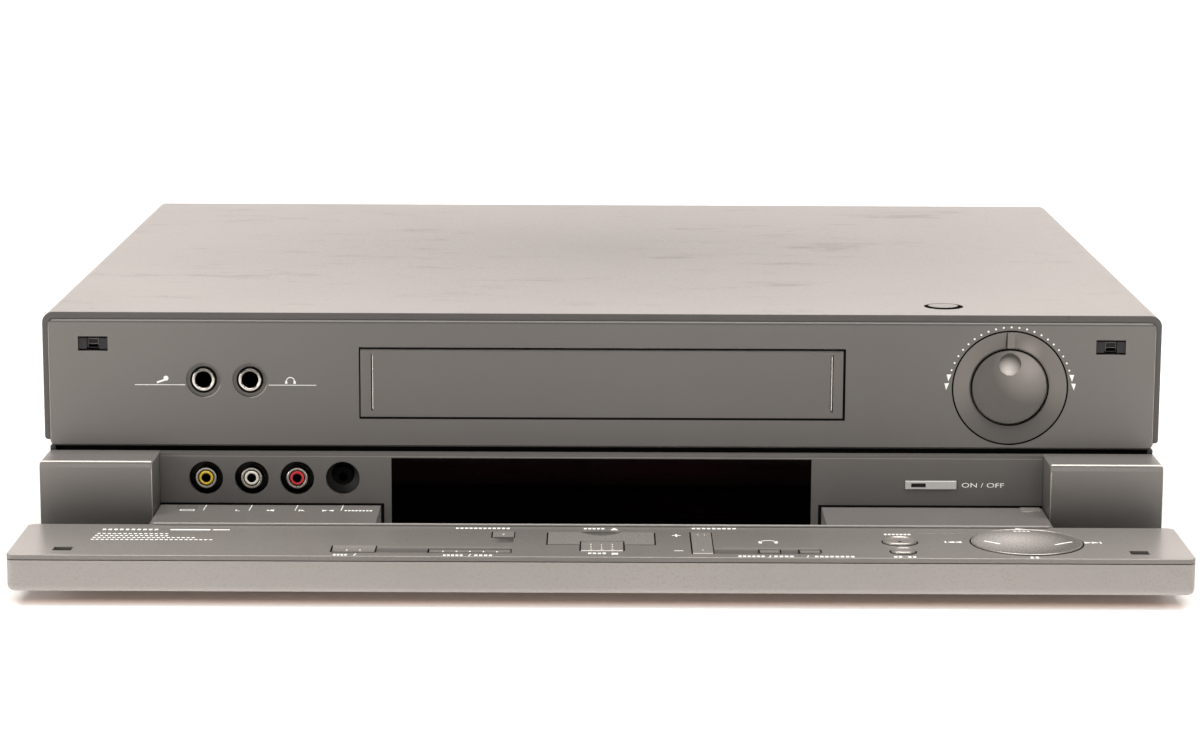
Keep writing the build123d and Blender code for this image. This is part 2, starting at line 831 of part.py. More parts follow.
jack_row_x = jack_first_x + (jack_count - 1) / 2 * jack_pitch
with BuildPart() as jack_panel:
    panel_end = block_inner_x - seam
    # Channel section: front wall with top and bottom returns.
    with BuildSketch(across(-panel_end)):
        span(reach_y(recess_reach), reach_y(0), foot_height, bezel_top)
        span(
            reach_y(recess_reach - bezel_wall), reach_y(0),
            foot_height + bezel_wall, bezel_top - bezel_wall, mode=Mode.SUBTRACT,
        )
    extrude(amount=2 * panel_end)
    with BuildSketch(front_plane(recess_reach)):
        span(
            -display_width / 2 - display_gap, display_width / 2 + display_gap,
            display_bottom - display_gap, display_top + display_gap,
        )
        with Locations((jack_row_x, jack_z)):
            with GridLocations(jack_pitch, 0, jack_count, 1):
                Circle(jack_hole)
        with Locations((standby_x, standby_z)):
            Rectangle(standby_width + 2 * standby_gap, standby_height + 2 * standby_gap)
    extrude(amount=-bezel_wall, mode=Mode.SUBTRACT)

with BuildPart() as display_window:
    display_z = (display_top + display_bottom) / 2
    with BuildSketch(front_plane(recess_reach - bezel_wall)):
        with Locations((0, display_z)):
            Rectangle(display_width, display_height)
    extrude(amount=bezel_wall - display_gap)
    with BuildSketch(front_plane(recess_reach - bezel_wall)):
        span(
            -display_width / 2 - display_flange, display_width / 2 + display_flange,
            foot_height + bezel_wall, bezel_top - bezel_wall,
        )
    extrude(amount=-display_flange_thickness)

with BuildPart() as front_board:
    with BuildSketch(front_plane(front_board_reach)):
        span(-board_half, board_half, floor_top, bezel_top)
    extrude(amount=-board_thickness)
    # Display tube soldered to the board behind the window.
    with BuildSketch(front_plane(front_board_reach)):
        with Locations((0, display_z)):
            Rectangle(display_tube_width, display_height - 2 * display_tube_margin)
    extrude(amount=display_tube_thickness)

jack_floor = recess_reach - barrel_length
input_jacks = {}
for index, jack_name in enumerate(("video_jack", "left_audio_jack", "right_audio_jack")):
    jack_x = jack_first_x + index * jack_pitch
    with BuildPart() as input_jack:
        with BuildSketch(front_plane(front_board_reach)):
            with Locations((jack_x, jack_z)):
                Rectangle(2 * jack_body, 2 * jack_body)
        extrude(amount=jack_floor - front_board_reach)
        with BuildSketch(front_plane(jack_floor)):
            with Locations((jack_x, jack_z)):
                Circle(barrel_radius)
                Circle(barrel_bore, mode=Mode.SUBTRACT)
                Circle(insert_radius)
                Circle(insert_bore, mode=Mode.SUBTRACT)
        extrude(amount=barrel_length - running_gap)
    input_jacks[jack_name] = input_jack

with BuildPart() as edit_socket:
    socket_x = jack_first_x + (jack_count - 1) * jack_pitch
    with BuildSketch(front_plane(front_board_reach)):
        with Locations((socket_x, jack_z)):
            Rectangle(2 * jack_body, 2 * jack_body)
    extrude(amount=jack_floor - front_board_reach)
    with BuildSketch(front_plane(jack_floor)):
        with Locations((socket_x, jack_z)):
            Circle(edit_socket_radius)
    extrude(amount=barrel_length - bezel_wall)
    with BuildSketch(front_plane(recess_reach)):
        with Locations((socket_x, jack_z)):
            Circle(edit_socket_bore)
    extrude(amount=front_board_reach / 2 - recess_reach, mode=Mode.SUBTRACT)

with BuildPart() as standby_button:
    standby_back = recess_reach - bezel_wall
    with BuildSketch(front_plane(standby_back)):
        with Locations((standby_x, standby_z)):
            Rectangle(standby_width, standby_height)
    extrude(amount=bezel_wall + standby_rise)
    chamfer(standby_button.faces().sort_by(Axis.Y)[0].edges(), standby_gap)
    with BuildSketch(front_plane(standby_back)):
        with Locations((standby_x, standby_z)):
            Rectangle(standby_width + 2 * standby_flange, standby_height + 2 * standby_flange)
    extrude(amount=-standby_flange)
    # Stem to just short of the switch on the board.
    with BuildSketch(front_plane(standby_back)):
        with Locations((standby_x, standby_z)):
            Circle(key_stem_radius)
    extrude(amount=front_board_reach + key_travel + key_gap - standby_back)

# ------------------------------------------------------------------ control flap
post_pitch_x = 2 * (flap_half - post_from_side) / (posts_in_row - 1)
post_pitch_y = flap_length - 2 * flap_wall - 2 * post_radius - 2 * key_gap
flap_middle_y = reach_y((flap_reach + flap_rear) / 2)
board_low_y = reach_y(flap_reach - flap_wall - flap_board_margin)
board_high_y = reach_y(flap_rear + flap_wall + flap_board_margin)
with BuildPart() as flap_shell:
    # Shallow tray, open at the top.
    with BuildSketch(level(flap_underside)) as shell_outline:
        span(-flap_half, flap_half, reach_y(flap_reach), reach_y(flap_rear))
        fillet(shell_outline.vertices(), flap_corner)
    extrude(amount=shell_top - flap_underside)
    fillet(flap_shell.faces().sort_by(Axis.Z)[0].edges(), flap_edge)
    with BuildSketch(level(shell_floor)) as shell_cavity:
        span(
            -flap_half + flap_wall, flap_half - flap_wall,
            reach_y(flap_reach - flap_wall), reach_y(flap_rear + flap_wall),
        )
        fillet(shell_cavity.vertices(), flap_corner - flap_wall)
    extrude(amount=flap_thickness, mode=Mode.SUBTRACT)
    # Screw posts up to the plate, and short posts under the switch board.
    with BuildSketch(level(shell_floor)):
        with Locations((0, flap_middle_y)):
            with GridLocations(post_pitch_x, post_pitch_y, posts_in_row, 2):
                Circle(post_radius)
    extrude(amount=plate_underside - shell_floor)
    with BuildSketch(level(shell_floor)):
        with Locations(((flap_board_from + flap_board_to) / 2, (board_low_y + board_high_y) / 2)):
            with GridLocations(
                (flap_board_to - flap_board_from) / board_posts_in_row,
                (board_high_y - board_low_y) / 2, board_posts_in_row, 2,
            ):
                Circle(post_radius)
    extrude(amount=flap_board_lift)

with BuildPart() as flap_board:
    with BuildSketch(level(flap_board_z)):
        span(flap_board_from, flap_board_to, board_low_y, board_high_y)
    extrude(amount=board_thickness)

round_keys = (
    (record_x, record_reach, record_radius),
    (speed_x, speed_reach, speed_radius),
)
with BuildPart() as control_plate:
    with BuildSketch(level(plate_underside)) as plate_outline:
        span(-flap_half, flap_half, reach_y(flap_reach), reach_y(flap_rear))
        fillet(plate_outline.vertices(), flap_corner)
    extrude(amount=plate_thickness)
    fillet(control_plate.faces().sort_by(Axis.Z)[-1].edges(), plate_line)
    # Ears under the plate: for the rocker's pins and for the pad's gimbal.
    rocker_x, rocker_y = middle(programme_area)
    rocker_half = (programme_area[1] - programme_area[0]) / 2
    rocker_ear_inner = rocker_half + key_gap
    for side in (-1, 1):
        with BuildSketch(across(rocker_x + side * rocker_ear_inner)):
            span(
                rocker_y - rocker_ear, rocker_y + rocker_ear,
                rocker_axis_z - rocker_ear, plate_underside,
            )
        extrude(amount=side * rocker_ear)
        with BuildSketch(across(rocker_x + side * rocker_ear_inner)):
            with Locations((rocker_y, rocker_axis_z)):
                Circle(rocker_pin_radius + running_gap)
        extrude(amount=side * rocker_ear, mode=Mode.SUBTRACT)
        with BuildSketch(front_plane(pad_reach - side * (pad_radius + pad_gap))):
            span(
                pad_x - gimbal_ear_wall - gimbal_pin_radius,
                pad_x + gimbal_ear_wall + gimbal_pin_radius,
                gimbal_top - gimbal_thickness - gimbal_pin_radius, plate_underside,
            )
        extrude(amount=-side * gimbal_ear_wall)
        with BuildSketch(front_plane(pad_reach - side * (pad_radius + pad_gap))):
            with Locations((pad_x, gimbal_top - gimbal_thickness / 2)):
                Circle(gimbal_pin_radius + running_gap)
        extrude(amount=-side * gimbal_ear_wall, mode=Mode.SUBTRACT)
    # Holes for the keys, the pad and the latches.
    with BuildSketch(level(plate_underside)):
        for area in (
            eject_area, stop_area, programme_area, menu_area,
            index_area, dubbing_area, stereo_area, select_area,
        ):
            key_outline(area, key_gap)
        for key_x, key_reach, key_radius in round_keys:
            with Locations((key_x, reach_y(key_reach))):
                Circle(key_radius + key_gap)
        with Locations((pad_x, reach_y(pad_reach))):
            Circle(pad_radius + pad_gap)
        with Locations((0, reach_y(strike_reach))):
            with GridLocations(2 * latch_x, 0, 2, 1):
                Rectangle(latch_height + latch_wall, latch_height)
    extrude(amount=plate_thickness, mode=Mode.SUBTRACT)
    # Finger channels beside the small keys, thumb scoop and dubbing hollow.
    finger_channel(menu_area[0], index_area[1])
    finger_channel(programme_area[1], select_area[1])
    eject_x = middle(eject_area)[0]
    with Locations((eject_x, reach_y(scoop_reach), flap_top + scoop_radius - scoop_depth)):
        Sphere(scoop_radius, mode=Mode.SUBTRACT)
    with BuildSketch(front_plane(dubbing_area[3] + dubbing_hollow_length)):
        with BuildLine():
            Polyline(
                (dubbing_area[0], flap_top),
                (dubbing_area[1], flap_top - dubbing_hollow_depth),
                (dubbing_area[1], flap_top),
                close=True,
            )
        make_face()
    extrude(amount=-dubbing_hollow_length, mode=Mode.SUBTRACT)

# Two wide arms join the flap to the hinge pins.
arms = {}
for arm_name, side in (("left_arm", -1), ("right_arm", 1)):
    with BuildPart() as arm:
        with BuildSketch(across(side * arm_inner_x)) as arm_section:
            span(reach_y(flap_rear), reach_y(arm_rear), flap_underside, flap_top)
            rear_corners = arm_section.vertices().group_by(Axis.X)[-1].sort_by(Axis.Y)
            fillet(rear_corners[0], arm_rear_round)
            fillet(arm_section.vertices().sort_by(Axis.Y)[-2:].sort_by(Axis.X)[-1], arm_top_round)
        extrude(amount=side * (arm_outer_x - arm_inner_x))
        # Hollow behind the joint with the flap.
        with BuildSketch(across(side * (arm_inner_x + arm_wall))):
            span(
                reach_y(flap_rear), reach_y(hinge_reach + arm_cavity_gap),
                flap_underside + arm_wall, flap_top - arm_wall,
            )
        extrude(amount=side * (arm_outer_x - arm_inner_x - 2 * arm_wall), mode=Mode.SUBTRACT)
        with BuildSketch(across(side * arm_outer_x)):
            with Locations((reach_y(hinge_reach), hinge_z)):
                Circle(hinge_pin_radius)
        extrude(amount=side * hinge_pin_length)
    arms[arm_name] = arm

# ------------------------------------------------------------------ keys on the flap
with BuildPart() as eject_button:
    with BuildSketch(level(key_bottom)):
        key_outline(eject_area)
        key_outline(stop_area, 2 * key_gap, mode=Mode.SUBTRACT)
    extrude(amount=key_height)
    key_tabs(eject_area, eject_area[2] + 2 * key_gap, stop_area[2] - 2 * key_gap)
    with Locations((
        eject_x, reach_y(scoop_reach), flap_top + key_rise + scoop_radius - scoop_depth,
    )):
        Sphere(scoop_radius, mode=Mode.SUBTRACT)
    key_stem(eject_x, reach_y(scoop_reach + 2 * key_stem_radius))

with BuildPart() as stop_button:
    stop_x, stop_y = middle(stop_area)
    with BuildSketch(level(key_bottom)):
        key_outline(stop_area)
    extrude(amount=key_height)
    chamfer(stop_button.faces().sort_by(Axis.Z)[-1].edges(), key_gap)
    key_tabs(stop_area, eject_area[3] + 2 * key_gap, stop_area[3] - key_gap)
    key_stem(stop_x, stop_y)

# Small keys: each is a cap with a tab at both ends and a stem to its switch.
small_keys = {}
for key_name, area in (
    ("menu_key", menu_area),
    ("index_key", index_area),
    ("dubbing_key", dubbing_area),
    ("stereo_key", stereo_area),
    ("select_key", select_area),
):
    key_x, key_y = middle(area)
    with BuildPart() as small_key:
        with BuildSketch(level(key_bottom)):
            key_outline(area)
        extrude(amount=key_height)
        if area is not dubbing_area:
            finger_channel(area[0], area[1], key_rise)
        key_tabs(area, area[2] + 2 * key_gap, area[3] - 2 * key_gap)
        key_stem(key_x, key_y)
    small_keys[key_name] = small_key

with BuildPart() as programme_rocker:
    with BuildSketch(level(rocker_axis_z)):
        key_outline(programme_area)
    extrude(amount=flap_top + key_rise - rocker_axis_z)
    fillet(programme_rocker.edges().filter_by(Axis.X).group_by(Axis.Z)[-1], key_tab)
    with BuildSketch(across(programme_area[0])):
        with Locations((rocker_y, rocker_axis_z)):
            Circle(rocker_ear)
    extrude(amount=2 * rocker_half)
    with BuildSketch(across(programme_area[0] - rocker_pin_length)):
        with Locations((rocker_y, rocker_axis_z)):
            Circle(rocker_pin_radius)
    extrude(amount=2 * (rocker_half + rocker_pin_length))

# Round keys: a raised rim round a dished middle, turned in half section.
turned_keys = {}
for key_name, (key_x, key_reach, key_radius) in zip(
    ("record_button", "speed_button"), round_keys
):
    key_y = reach_y(key_reach)
    rim_top = flap_top + round_key_rise
    with BuildPart() as turned_key:
        with BuildSketch(Plane(origin=(key_x, key_y, 0), x_dir=(1, 0, 0), z_dir=(0, -1, 0))):
            with BuildLine():
                outside = Polyline(
                    (0, rim_top - round_key_dish),
                    (0, stem_end_z),
                    (key_stem_radius, stem_end_z),
                    (key_stem_radius, key_bottom),
                    (key_radius + key_tab, key_bottom),
                    (key_radius + key_tab, plate_underside),
                    (key_radius, plate_underside),
                    (key_radius, flap_top),
                )
                rim = ThreePointArc(
                    outside @ 1,
                    (key_radius - round_key_rim / 2, rim_top),
                    (key_radius - round_key_rim, rim_top - round_key_dish / 2),
                )
                Line(rim @ 1, outside @ 0)
            make_face()
        revolve(axis=Axis((key_x, key_y, 0), (0, 0, 1)), revolution_arc=360)
    turned_keys[key_name] = turned_key

# Four-way pad: it tips on an X axis in the gimbal, the gimbal on a Y axis in the plate.
pad_y = reach_y(pad_reach)
gimbal_middle_z = gimbal_top - gimbal_thickness / 2
with BuildPart() as play_pad:
    pad_bottom = plate_underside - pad_below
    with BuildSketch(Plane(origin=(pad_x, pad_y, 0), x_dir=(0, 1, 0), z_dir=(1, 0, 0))):
        with BuildLine():
            pad_side = Polyline(
                (0, flap_top + pad_edge_rise + pad_dome),
                (0, pad_bottom),
                (pad_radius - key_gap, pad_bottom),
                (pad_radius, flap_top),
                (pad_radius, flap_top + pad_edge_rise),
            )
            ThreePointArc(
                pad_side @ 1,
                (pad_radius / 2, flap_top + pad_edge_rise + half_way_rise(pad_radius, pad_dome)),
                pad_side @ 0,
            )
        make_face()
    revolve(axis=Axis((pad_x, pad_y, 0), (0, 0, 1)), revolution_arc=360)
    # Two lugs inside the gimbal with pins along X.
    lug_outer = gimbal_inner - pad_gap
    for side in (-1, 1):
        with BuildSketch(across(pad_x + side * lug_outer)):
            span(
                pad_y - gimbal_ear_wall, pad_y + gimbal_ear_wall,
                gimbal_middle_z - gimbal_ear_wall, pad_bottom + key_tab,
            )
        extrude(amount=-side * gimbal_ear_wall)
        with BuildSketch(across(pad_x + side * (lug_outer - gimbal_ear_wall))):
            with Locations((pad_y, gimbal_middle_z)):
                Circle(gimbal_pin_radius)
        extrude(amount=side * (gimbal_radius - lug_outer))

with BuildPart() as pad_gimbal:
    with BuildSketch(level(gimbal_top - gimbal_thickness)):
        with Locations((pad_x, pad_y)):
            Circle(gimbal_radius)
            Circle(gimbal_inner, mode=Mode.SUBTRACT)
    extrude(amount=gimbal_thickness)
    # Pins along Y, each in an ear of the plate.
    gimbal_pin_end = pad_radius + pad_gap + gimbal_ear_wall - key_gap
    for side in (-1, 1):
        with BuildSketch(front_plane(pad_reach + side * gimbal_pin_end)):
            with Locations((pad_x, gimbal_middle_z)):
                Circle(gimbal_pin_radius)
        extrude(amount=side * (gimbal_inner + pad_gap - gimbal_pin_end))
    # Bore along X for the pad's pins.
    with BuildSketch(across(pad_x - gimbal_radius)):
        with Locations((pad_y, gimbal_middle_z)):
            Circle(gimbal_pin_radius + running_gap)
    extrude(amount=2 * gimbal_radius, mode=Mode.SUBTRACT)

# ------------------------------------------------------------------ tape deck
def deck_stud(x, behind_face, radius, stud_height):
    """Round stud standing on the deck plate."""
    with BuildSketch(level(deck_top)) as stud:
        with Locations((x, reach_y(-behind_face))):
            Circle(radius)
    extrude(stud.sketch, amount=stud_height)


pinch_pivot_x = capstan_x + pinch_arm_length
pinch_pivot_behind = capstan_behind_face + capstan_radius + pinch_radius + pinch_closing_gap
with BuildPart() as deck_plate:
    with BuildSketch(level(deck_z)):
        span(-deck_half_width, deck_half_width, reach_y(-deck_rear), reach_y(-deck_front))
        with Locations((capstan_x, reach_y(-capstan_behind_face))):
            Circle(capstan_bearing_radius + seam, mode=Mode.SUBTRACT)
    extrude(amount=deck_thickness)
    for reel_x in (-reel_pitch / 2, reel_pitch / 2):
        deck_stud(reel_x, reel_behind_face, reel_post_radius, reel_post_height)
        deck_stud(reel_x, reel_behind_face, 2 * reel_post_radius, reel_lift)
    deck_stud(pinch_pivot_x, pinch_pivot_behind, pivot_post_radius, pivot_post_height)
    deck_stud(
        pinch_pivot_x, pinch_pivot_behind, pinch_boss_radius, pinch_arm_above_deck - reel_lift
    )
    # Legs at the four corners, down to the floor of the tray.
    with BuildSketch(level(deck_z)):
        with Locations((0, reach_y(-(deck_front + deck_rear) / 2))):
            with GridLocations(
                2 * (deck_half_width - deck_leg_inset),
                deck_rear - deck_front - 2 * deck_leg_inset, 2, 2,
            ):
                Circle(deck_leg_radius)
    extrude(amount=floor_top - deck_z)

with BuildPart() as loading_frame:
    # Two upright side sheets, each with a rail slot and a foot on the deck.
    frame_front = reach_y(-slider_middle + slider_length / 2)
    frame_rear = reach_y(-slider_middle - slider_length / 2 - load_travel)
    for side in (-1, 1):
        with BuildSketch(across(side * frame_inner)):
            span(frame_front, frame_rear, deck_top, rail_z + frame_above_rail)
        extrude(amount=side * frame_sheet)
        with BuildSketch(level(deck_top)):
            span(side * frame_inner, side * (frame_inner + frame_foot), frame_front, frame_rear)
        extrude(amount=frame_sheet)
        with BuildSketch(across(side * frame_inner)):
            with Locations((reach_y(-slider_middle - load_travel / 2), rail_z)):
                SlotCenterToCenter(
                    load_travel + rail_pin_pitch, 2 * (lift_pin_radius + running_gap)
                )
        extrude(amount=side * frame_sheet, mode=Mode.SUBTRACT)

with BuildPart() as holder_slider:
    # Two side sheets and a bridge over the holder.
    slider_top = holder_top_z + slider_bar_gap + slider_sheet
    slider_bottom = lift_pin_z - drop_travel - slider_below_pin
    slider_y = reach_y(-slider_middle)
    for side in (-1, 1):
        with BuildSketch(across(side * slider_inner)):
            span(
                slider_y - slider_length / 2, slider_y + slider_length / 2,
                slider_bottom, slider_top,
            )
        extrude(amount=side * slider_sheet)
        # Upright slots for the holder's pins.
        with BuildSketch(across(side * slider_inner)):
            with Locations((slider_y, lift_pin_z - drop_travel / 2)):
                with GridLocations(lift_pin_pitch, 0, 2, 1):
                    SlotCenterToCenter(
                        drop_travel, 2 * (lift_pin_radius + running_gap), rotation=90
                    )
        extrude(amount=side * slider_sheet, mode=Mode.SUBTRACT)
        # Pins that run in the frame's rail slot.
        with BuildSketch(across(side * slider_outer)):
            with Locations((slider_y, rail_z)):
                with GridLocations(rail_pin_pitch, 0, 2, 1):
                    Circle(lift_pin_radius)
        extrude(amount=side * (frame_outer - slider_outer))
    with BuildSketch(level(slider_top - slider_sheet)):
        with Locations((0, slider_y)):
            Rectangle(2 * slider_outer, slider_bar_width)
    extrude(amount=slider_sheet)

with BuildPart() as cassette_holder:
    # Folded sheet: roof, two sides and a narrow ledge along each side.
    with BuildSketch(front_plane(-holder_front)):
        span(-holder_half, holder_half, holder_floor_z, holder_top_z)
        span(
            -holder_half + holder_sheet, holder_half - holder_sheet,
            holder_floor_z + holder_sheet, holder_top_z - holder_sheet, mode=Mode.SUBTRACT,
        )
        span(
            -holder_half + holder_ledge, holder_half - holder_ledge,
            holder_floor_z, holder_floor_z + holder_sheet, mode=Mode.SUBTRACT,
        )
    extrude(amount=-holder_length)
    for side in (-1, 1):
        with BuildSketch(across(side * holder_half)):
            with Locations((slider_y, lift_pin_z)):
                with GridLocations(lift_pin_pitch, 0, 2, 1):
                    Circle(lift_pin_radius)
        extrude(amount=side * (slider_outer - holder_half))

# Tilted drum: its lower half is fixed and the upper half turns on the same axis.
drum_tilt_x = sin(radians(drum_tilt))
drum_tilt_z = cos(radians(drum_tilt))
drum_foot = Plane(
    origin=(0, reach_y(-drum_behind_face), deck_top + drum_above_deck),
    x_dir=(drum_tilt_z, 0, -drum_tilt_x),
    z_dir=(drum_tilt_x, 0, drum_tilt_z),
)
with BuildPart() as lower_drum:
    with BuildSketch(drum_foot):
        Circle(drum_radius)
    extrude(amount=drum_lower_height)
    # Round pedestal from the deck into the underside of the drum.
    with BuildSketch(level(deck_top)):
        with Locations((0, reach_y(-drum_behind_face))):
            Circle(drum_base_radius)
    extrude(amount=drum_above_deck + drum_base_radius * drum_tilt_x)
    with BuildSketch(drum_foot.offset(drum_lower_height)):
        Circle(drum_shaft_radius + running_gap)
    extrude(amount=-drum_shaft_length - drum_gap, mode=Mode.SUBTRACT)

with BuildPart() as upper_drum:
    with BuildSketch(drum_foot.offset(drum_lower_height + drum_gap)):
        Circle(drum_radius)
    extrude(amount=drum_upper_height)
    chamfer(upper_drum.edges().sort_by(Axis.Z)[-1], drum_gap)
    with BuildSketch(drum_foot.offset(drum_lower_height + drum_gap)):
        Circle(drum_shaft_radius)
    extrude(amount=-drum_shaft_length)

capstan_y = reach_y(-capstan_behind_face)
with BuildPart() as capstan_motor:
    # Stator under the deck and a bearing tube up through it.
    with BuildSketch(level(deck_z)):
        with Locations((capstan_x, capstan_y)):
            Circle(stator_radius)
    extrude(amount=-stator_thickness)
    with BuildSketch(level(deck_z)):
        with Locations((capstan_x, capstan_y)):
            Circle(capstan_bearing_radius)
    extrude(amount=deck_thickness + capstan_bearing_height)
    with BuildSketch(level(deck_z - stator_thickness)):
        with Locations((capstan_x, capstan_y)):
            Circle(capstan_radius + running_gap)
    extrude(
        amount=stator_thickness + deck_thickness + capstan_bearing_height, mode=Mode.SUBTRACT
    )

with BuildPart() as capstan:
    flywheel_top = deck_z - stator_thickness - flywheel_gap
    with BuildSketch(level(flywheel_top)):
        with Locations((capstan_x, capstan_y)):
            Circle(flywheel_radius)
    extrude(amount=-flywheel_thickness)
    with BuildSketch(level(flywheel_top)):
        with Locations((capstan_x, capstan_y)):
            Circle(capstan_radius)
    extrude(amount=deck_top + capstan_above_deck - flywheel_top)

# The pinch arm rests swung back from the capstan.
rest_angle = radians(180 - pinch_swing)
pinch_pivot_y = reach_y(-pinch_pivot_behind)
roller_x = pinch_pivot_x + pinch_arm_length * cos(rest_angle)
roller_y = pinch_pivot_y + pinch_arm_length * sin(rest_angle)
pinch_arm_z = deck_top + pinch_arm_above_deck
with BuildPart() as pinch_arm:
    with BuildSketch(level(pinch_arm_z)):
        with Locations((pinch_pivot_x, pinch_pivot_y)):
            Circle(pinch_boss_radius)
        with Locations(Location(
            ((pinch_pivot_x + roller_x) / 2, (pinch_pivot_y + roller_y) / 2), 180 - pinch_swing
        )):
            SlotCenterToCenter(pinch_arm_length, 2 * pivot_post_radius)
    extrude(amount=pinch_arm_thickness)
    with BuildSketch(level(pinch_arm_z)):
        with Locations((roller_x, roller_y)):
            Circle(roller_axle_radius)
    extrude(amount=pinch_arm_thickness + pinch_height)
    with BuildSketch(level(pinch_arm_z)):
        with Locations((pinch_pivot_x, pinch_pivot_y)):
            Circle(pivot_post_radius + running_gap)
    extrude(amount=pinch_arm_thickness, mode=Mode.SUBTRACT)

with BuildPart() as pinch_roller:
    with BuildSketch(level(pinch_arm_z + pinch_arm_thickness)):
        with Locations((roller_x, roller_y)):
            Circle(pinch_radius)
            Circle(roller_axle_radius + running_gap, mode=Mode.SUBTRACT)
    extrude(amount=pinch_height)

reels = {}
for reel_name, reel_x in (("supply_reel", -reel_pitch / 2), ("takeup_reel", reel_pitch / 2)):
    reel_y = reach_y(-reel_behind_face)
    with BuildPart() as reel:
        with BuildSketch(level(deck_top + reel_lift)):
            with Locations((reel_x, reel_y)):
                Circle(reel_disc_radius)
        extrude(amount=reel_disc_thickness)
        # Hub with its drive fins.
        with BuildSketch(level(deck_top + reel_lift)):
            with Locations((reel_x, reel_y)):
                Circle(reel_hub_radius)
                with PolarLocations(reel_hub_radius, reel_fin_count):
                    Rectangle(reel_post_radius * 2, reel_post_radius)
        extrude(amount=reel_height - reel_lift)
        with BuildSketch(level(deck_top + reel_lift)):
            with Locations((reel_x, reel_y)):
                Circle(reel_post_radius + running_gap)
        extrude(amount=reel_post_height, mode=Mode.SUBTRACT)
    reels[reel_name] = reel

with BuildPart() as tape_guides:
    # Four guide posts, then the audio and erase heads.
    guide_behind = lid_behind_face + guide_radius + drum_base_radius
    inner_guide_x = drum_radius + 2 * guide_radius
    outer_guide_x = capstan_x + reel_disc_radius
    for guide_x in (-outer_guide_x, -inner_guide_x, inner_guide_x):
        deck_stud(guide_x, guide_behind, guide_radius, guide_height)
    for head_x in (-capstan_x, capstan_x - reel_disc_radius):
        with BuildSketch(level(deck_top)):
            with Locations((head_x, reach_y(-lid_behind_face - 2 * guide_radius))):
                Rectangle(head_width, head_depth)
        extrude(amount=guide_height - 2 * guide_radius)

# ------------------------------------------------------------------ electronics and rear
# Both boards stand on four short legs.
board_middle_x = (main_board_inner_x + board_half) / 2
board_leg_pitch_x = board_half - main_board_inner_x - 2 * board_leg_inset
with BuildPart() as main_board:
    with BuildSketch(level(main_board_z)):
        span(main_board_inner_x, board_half, main_board_front, board_rear_y)
    extrude(amount=board_thickness)
    # Rows of packages and a heat sink.
    chip_z = main_board_z + board_thickness
    with BuildSketch(level(chip_z)):
        with Locations((board_middle_x, main_board_front + chips_from_front)):
            with GridLocations(chip_pitch, chip_pitch, chip_columns, chip_rows):
                Rectangle(chip_length, chip_width)
    extrude(amount=chip_height)
    with BuildSketch(level(chip_z)):
        with Locations((board_middle_x, main_board_front + chip_width)):
            with GridLocations(chip_height * 2, 0, fin_count, 1):
                Rectangle(board_thickness, chip_width)
            Rectangle(fin_count * chip_height * 2, board_thickness)
    extrude(amount=capacitor_height)
    with BuildSketch(level(main_board_z)):
        with Locations((board_middle_x, main_board_front + main_board_length / 2)):
            with GridLocations(
                board_leg_pitch_x, main_board_length - 2 * board_leg_inset, 2, 2
            ):
                Circle(board_leg_radius)
    extrude(amount=-board_lift)

with BuildPart() as power_supply:
    with BuildSketch(level(main_board_z)):
        span(-board_half, -main_board_inner_x, supply_front_y, board_rear_y)
    extrude(amount=board_thickness)
    with BuildSketch(level(chip_z)):
        with Locations((-board_middle_x, supply_front_y + transformer_size)):
            Rectangle(transformer_size, transformer_size)
    extrude(amount=transformer_height)
    fillet(power_supply.edges().filter_by(Axis.Z).group_by(SortBy.LENGTH)[-1], capacitor_edge)
    with BuildSketch(level(chip_z)):
        with Locations((-board_middle_x, supply_front_y + 2 * transformer_size)):
            with GridLocations(capacitor_pitch, 0, 2, 1):
                Circle(capacitor_radius)
    extrude(amount=capacitor_height)
    fillet(
        power_supply.edges().filter_by(GeomType.CIRCLE).group_by(Axis.Z)[-1], capacitor_edge
    )
    with BuildSketch(level(main_board_z)):
        with Locations((-board_middle_x, supply_front_y + supply_length / 2)):
            with GridLocations(board_leg_pitch_x, supply_length - 2 * board_leg_inset, 2, 2):
                Circle(board_leg_radius)
    extrude(amount=-board_lift)

with BuildPart() as tuner:
    # Screened box with two aerial sockets through the rear panel.
    aerial_z = chip_z + tuner_height / 2
    with BuildSketch(level(chip_z)):
        span(
            tuner_x - tuner_width / 2, tuner_x + tuner_width / 2,
            board_rear_y - tuner_length, board_rear_y,
        )
    extrude(amount=tuner_height)
    with BuildSketch(Plane.XZ.offset(-board_rear_y)):
        with Locations((tuner_x, aerial_z)):
            with GridLocations(aerial_pitch, 0, 2, 1):
                Circle(aerial_radius)
                Circle(aerial_bore, mode=Mode.SUBTRACT)
    extrude(amount=-aerial_length)
    with BuildSketch(Plane.XZ.offset(-board_rear_y)):
        with Locations((tuner_x, aerial_z)):
            with GridLocations(aerial_pitch, 0, 2, 1):
                Circle(inlet_pin_radius)
    extrude(amount=-aerial_length + board_side_gap)

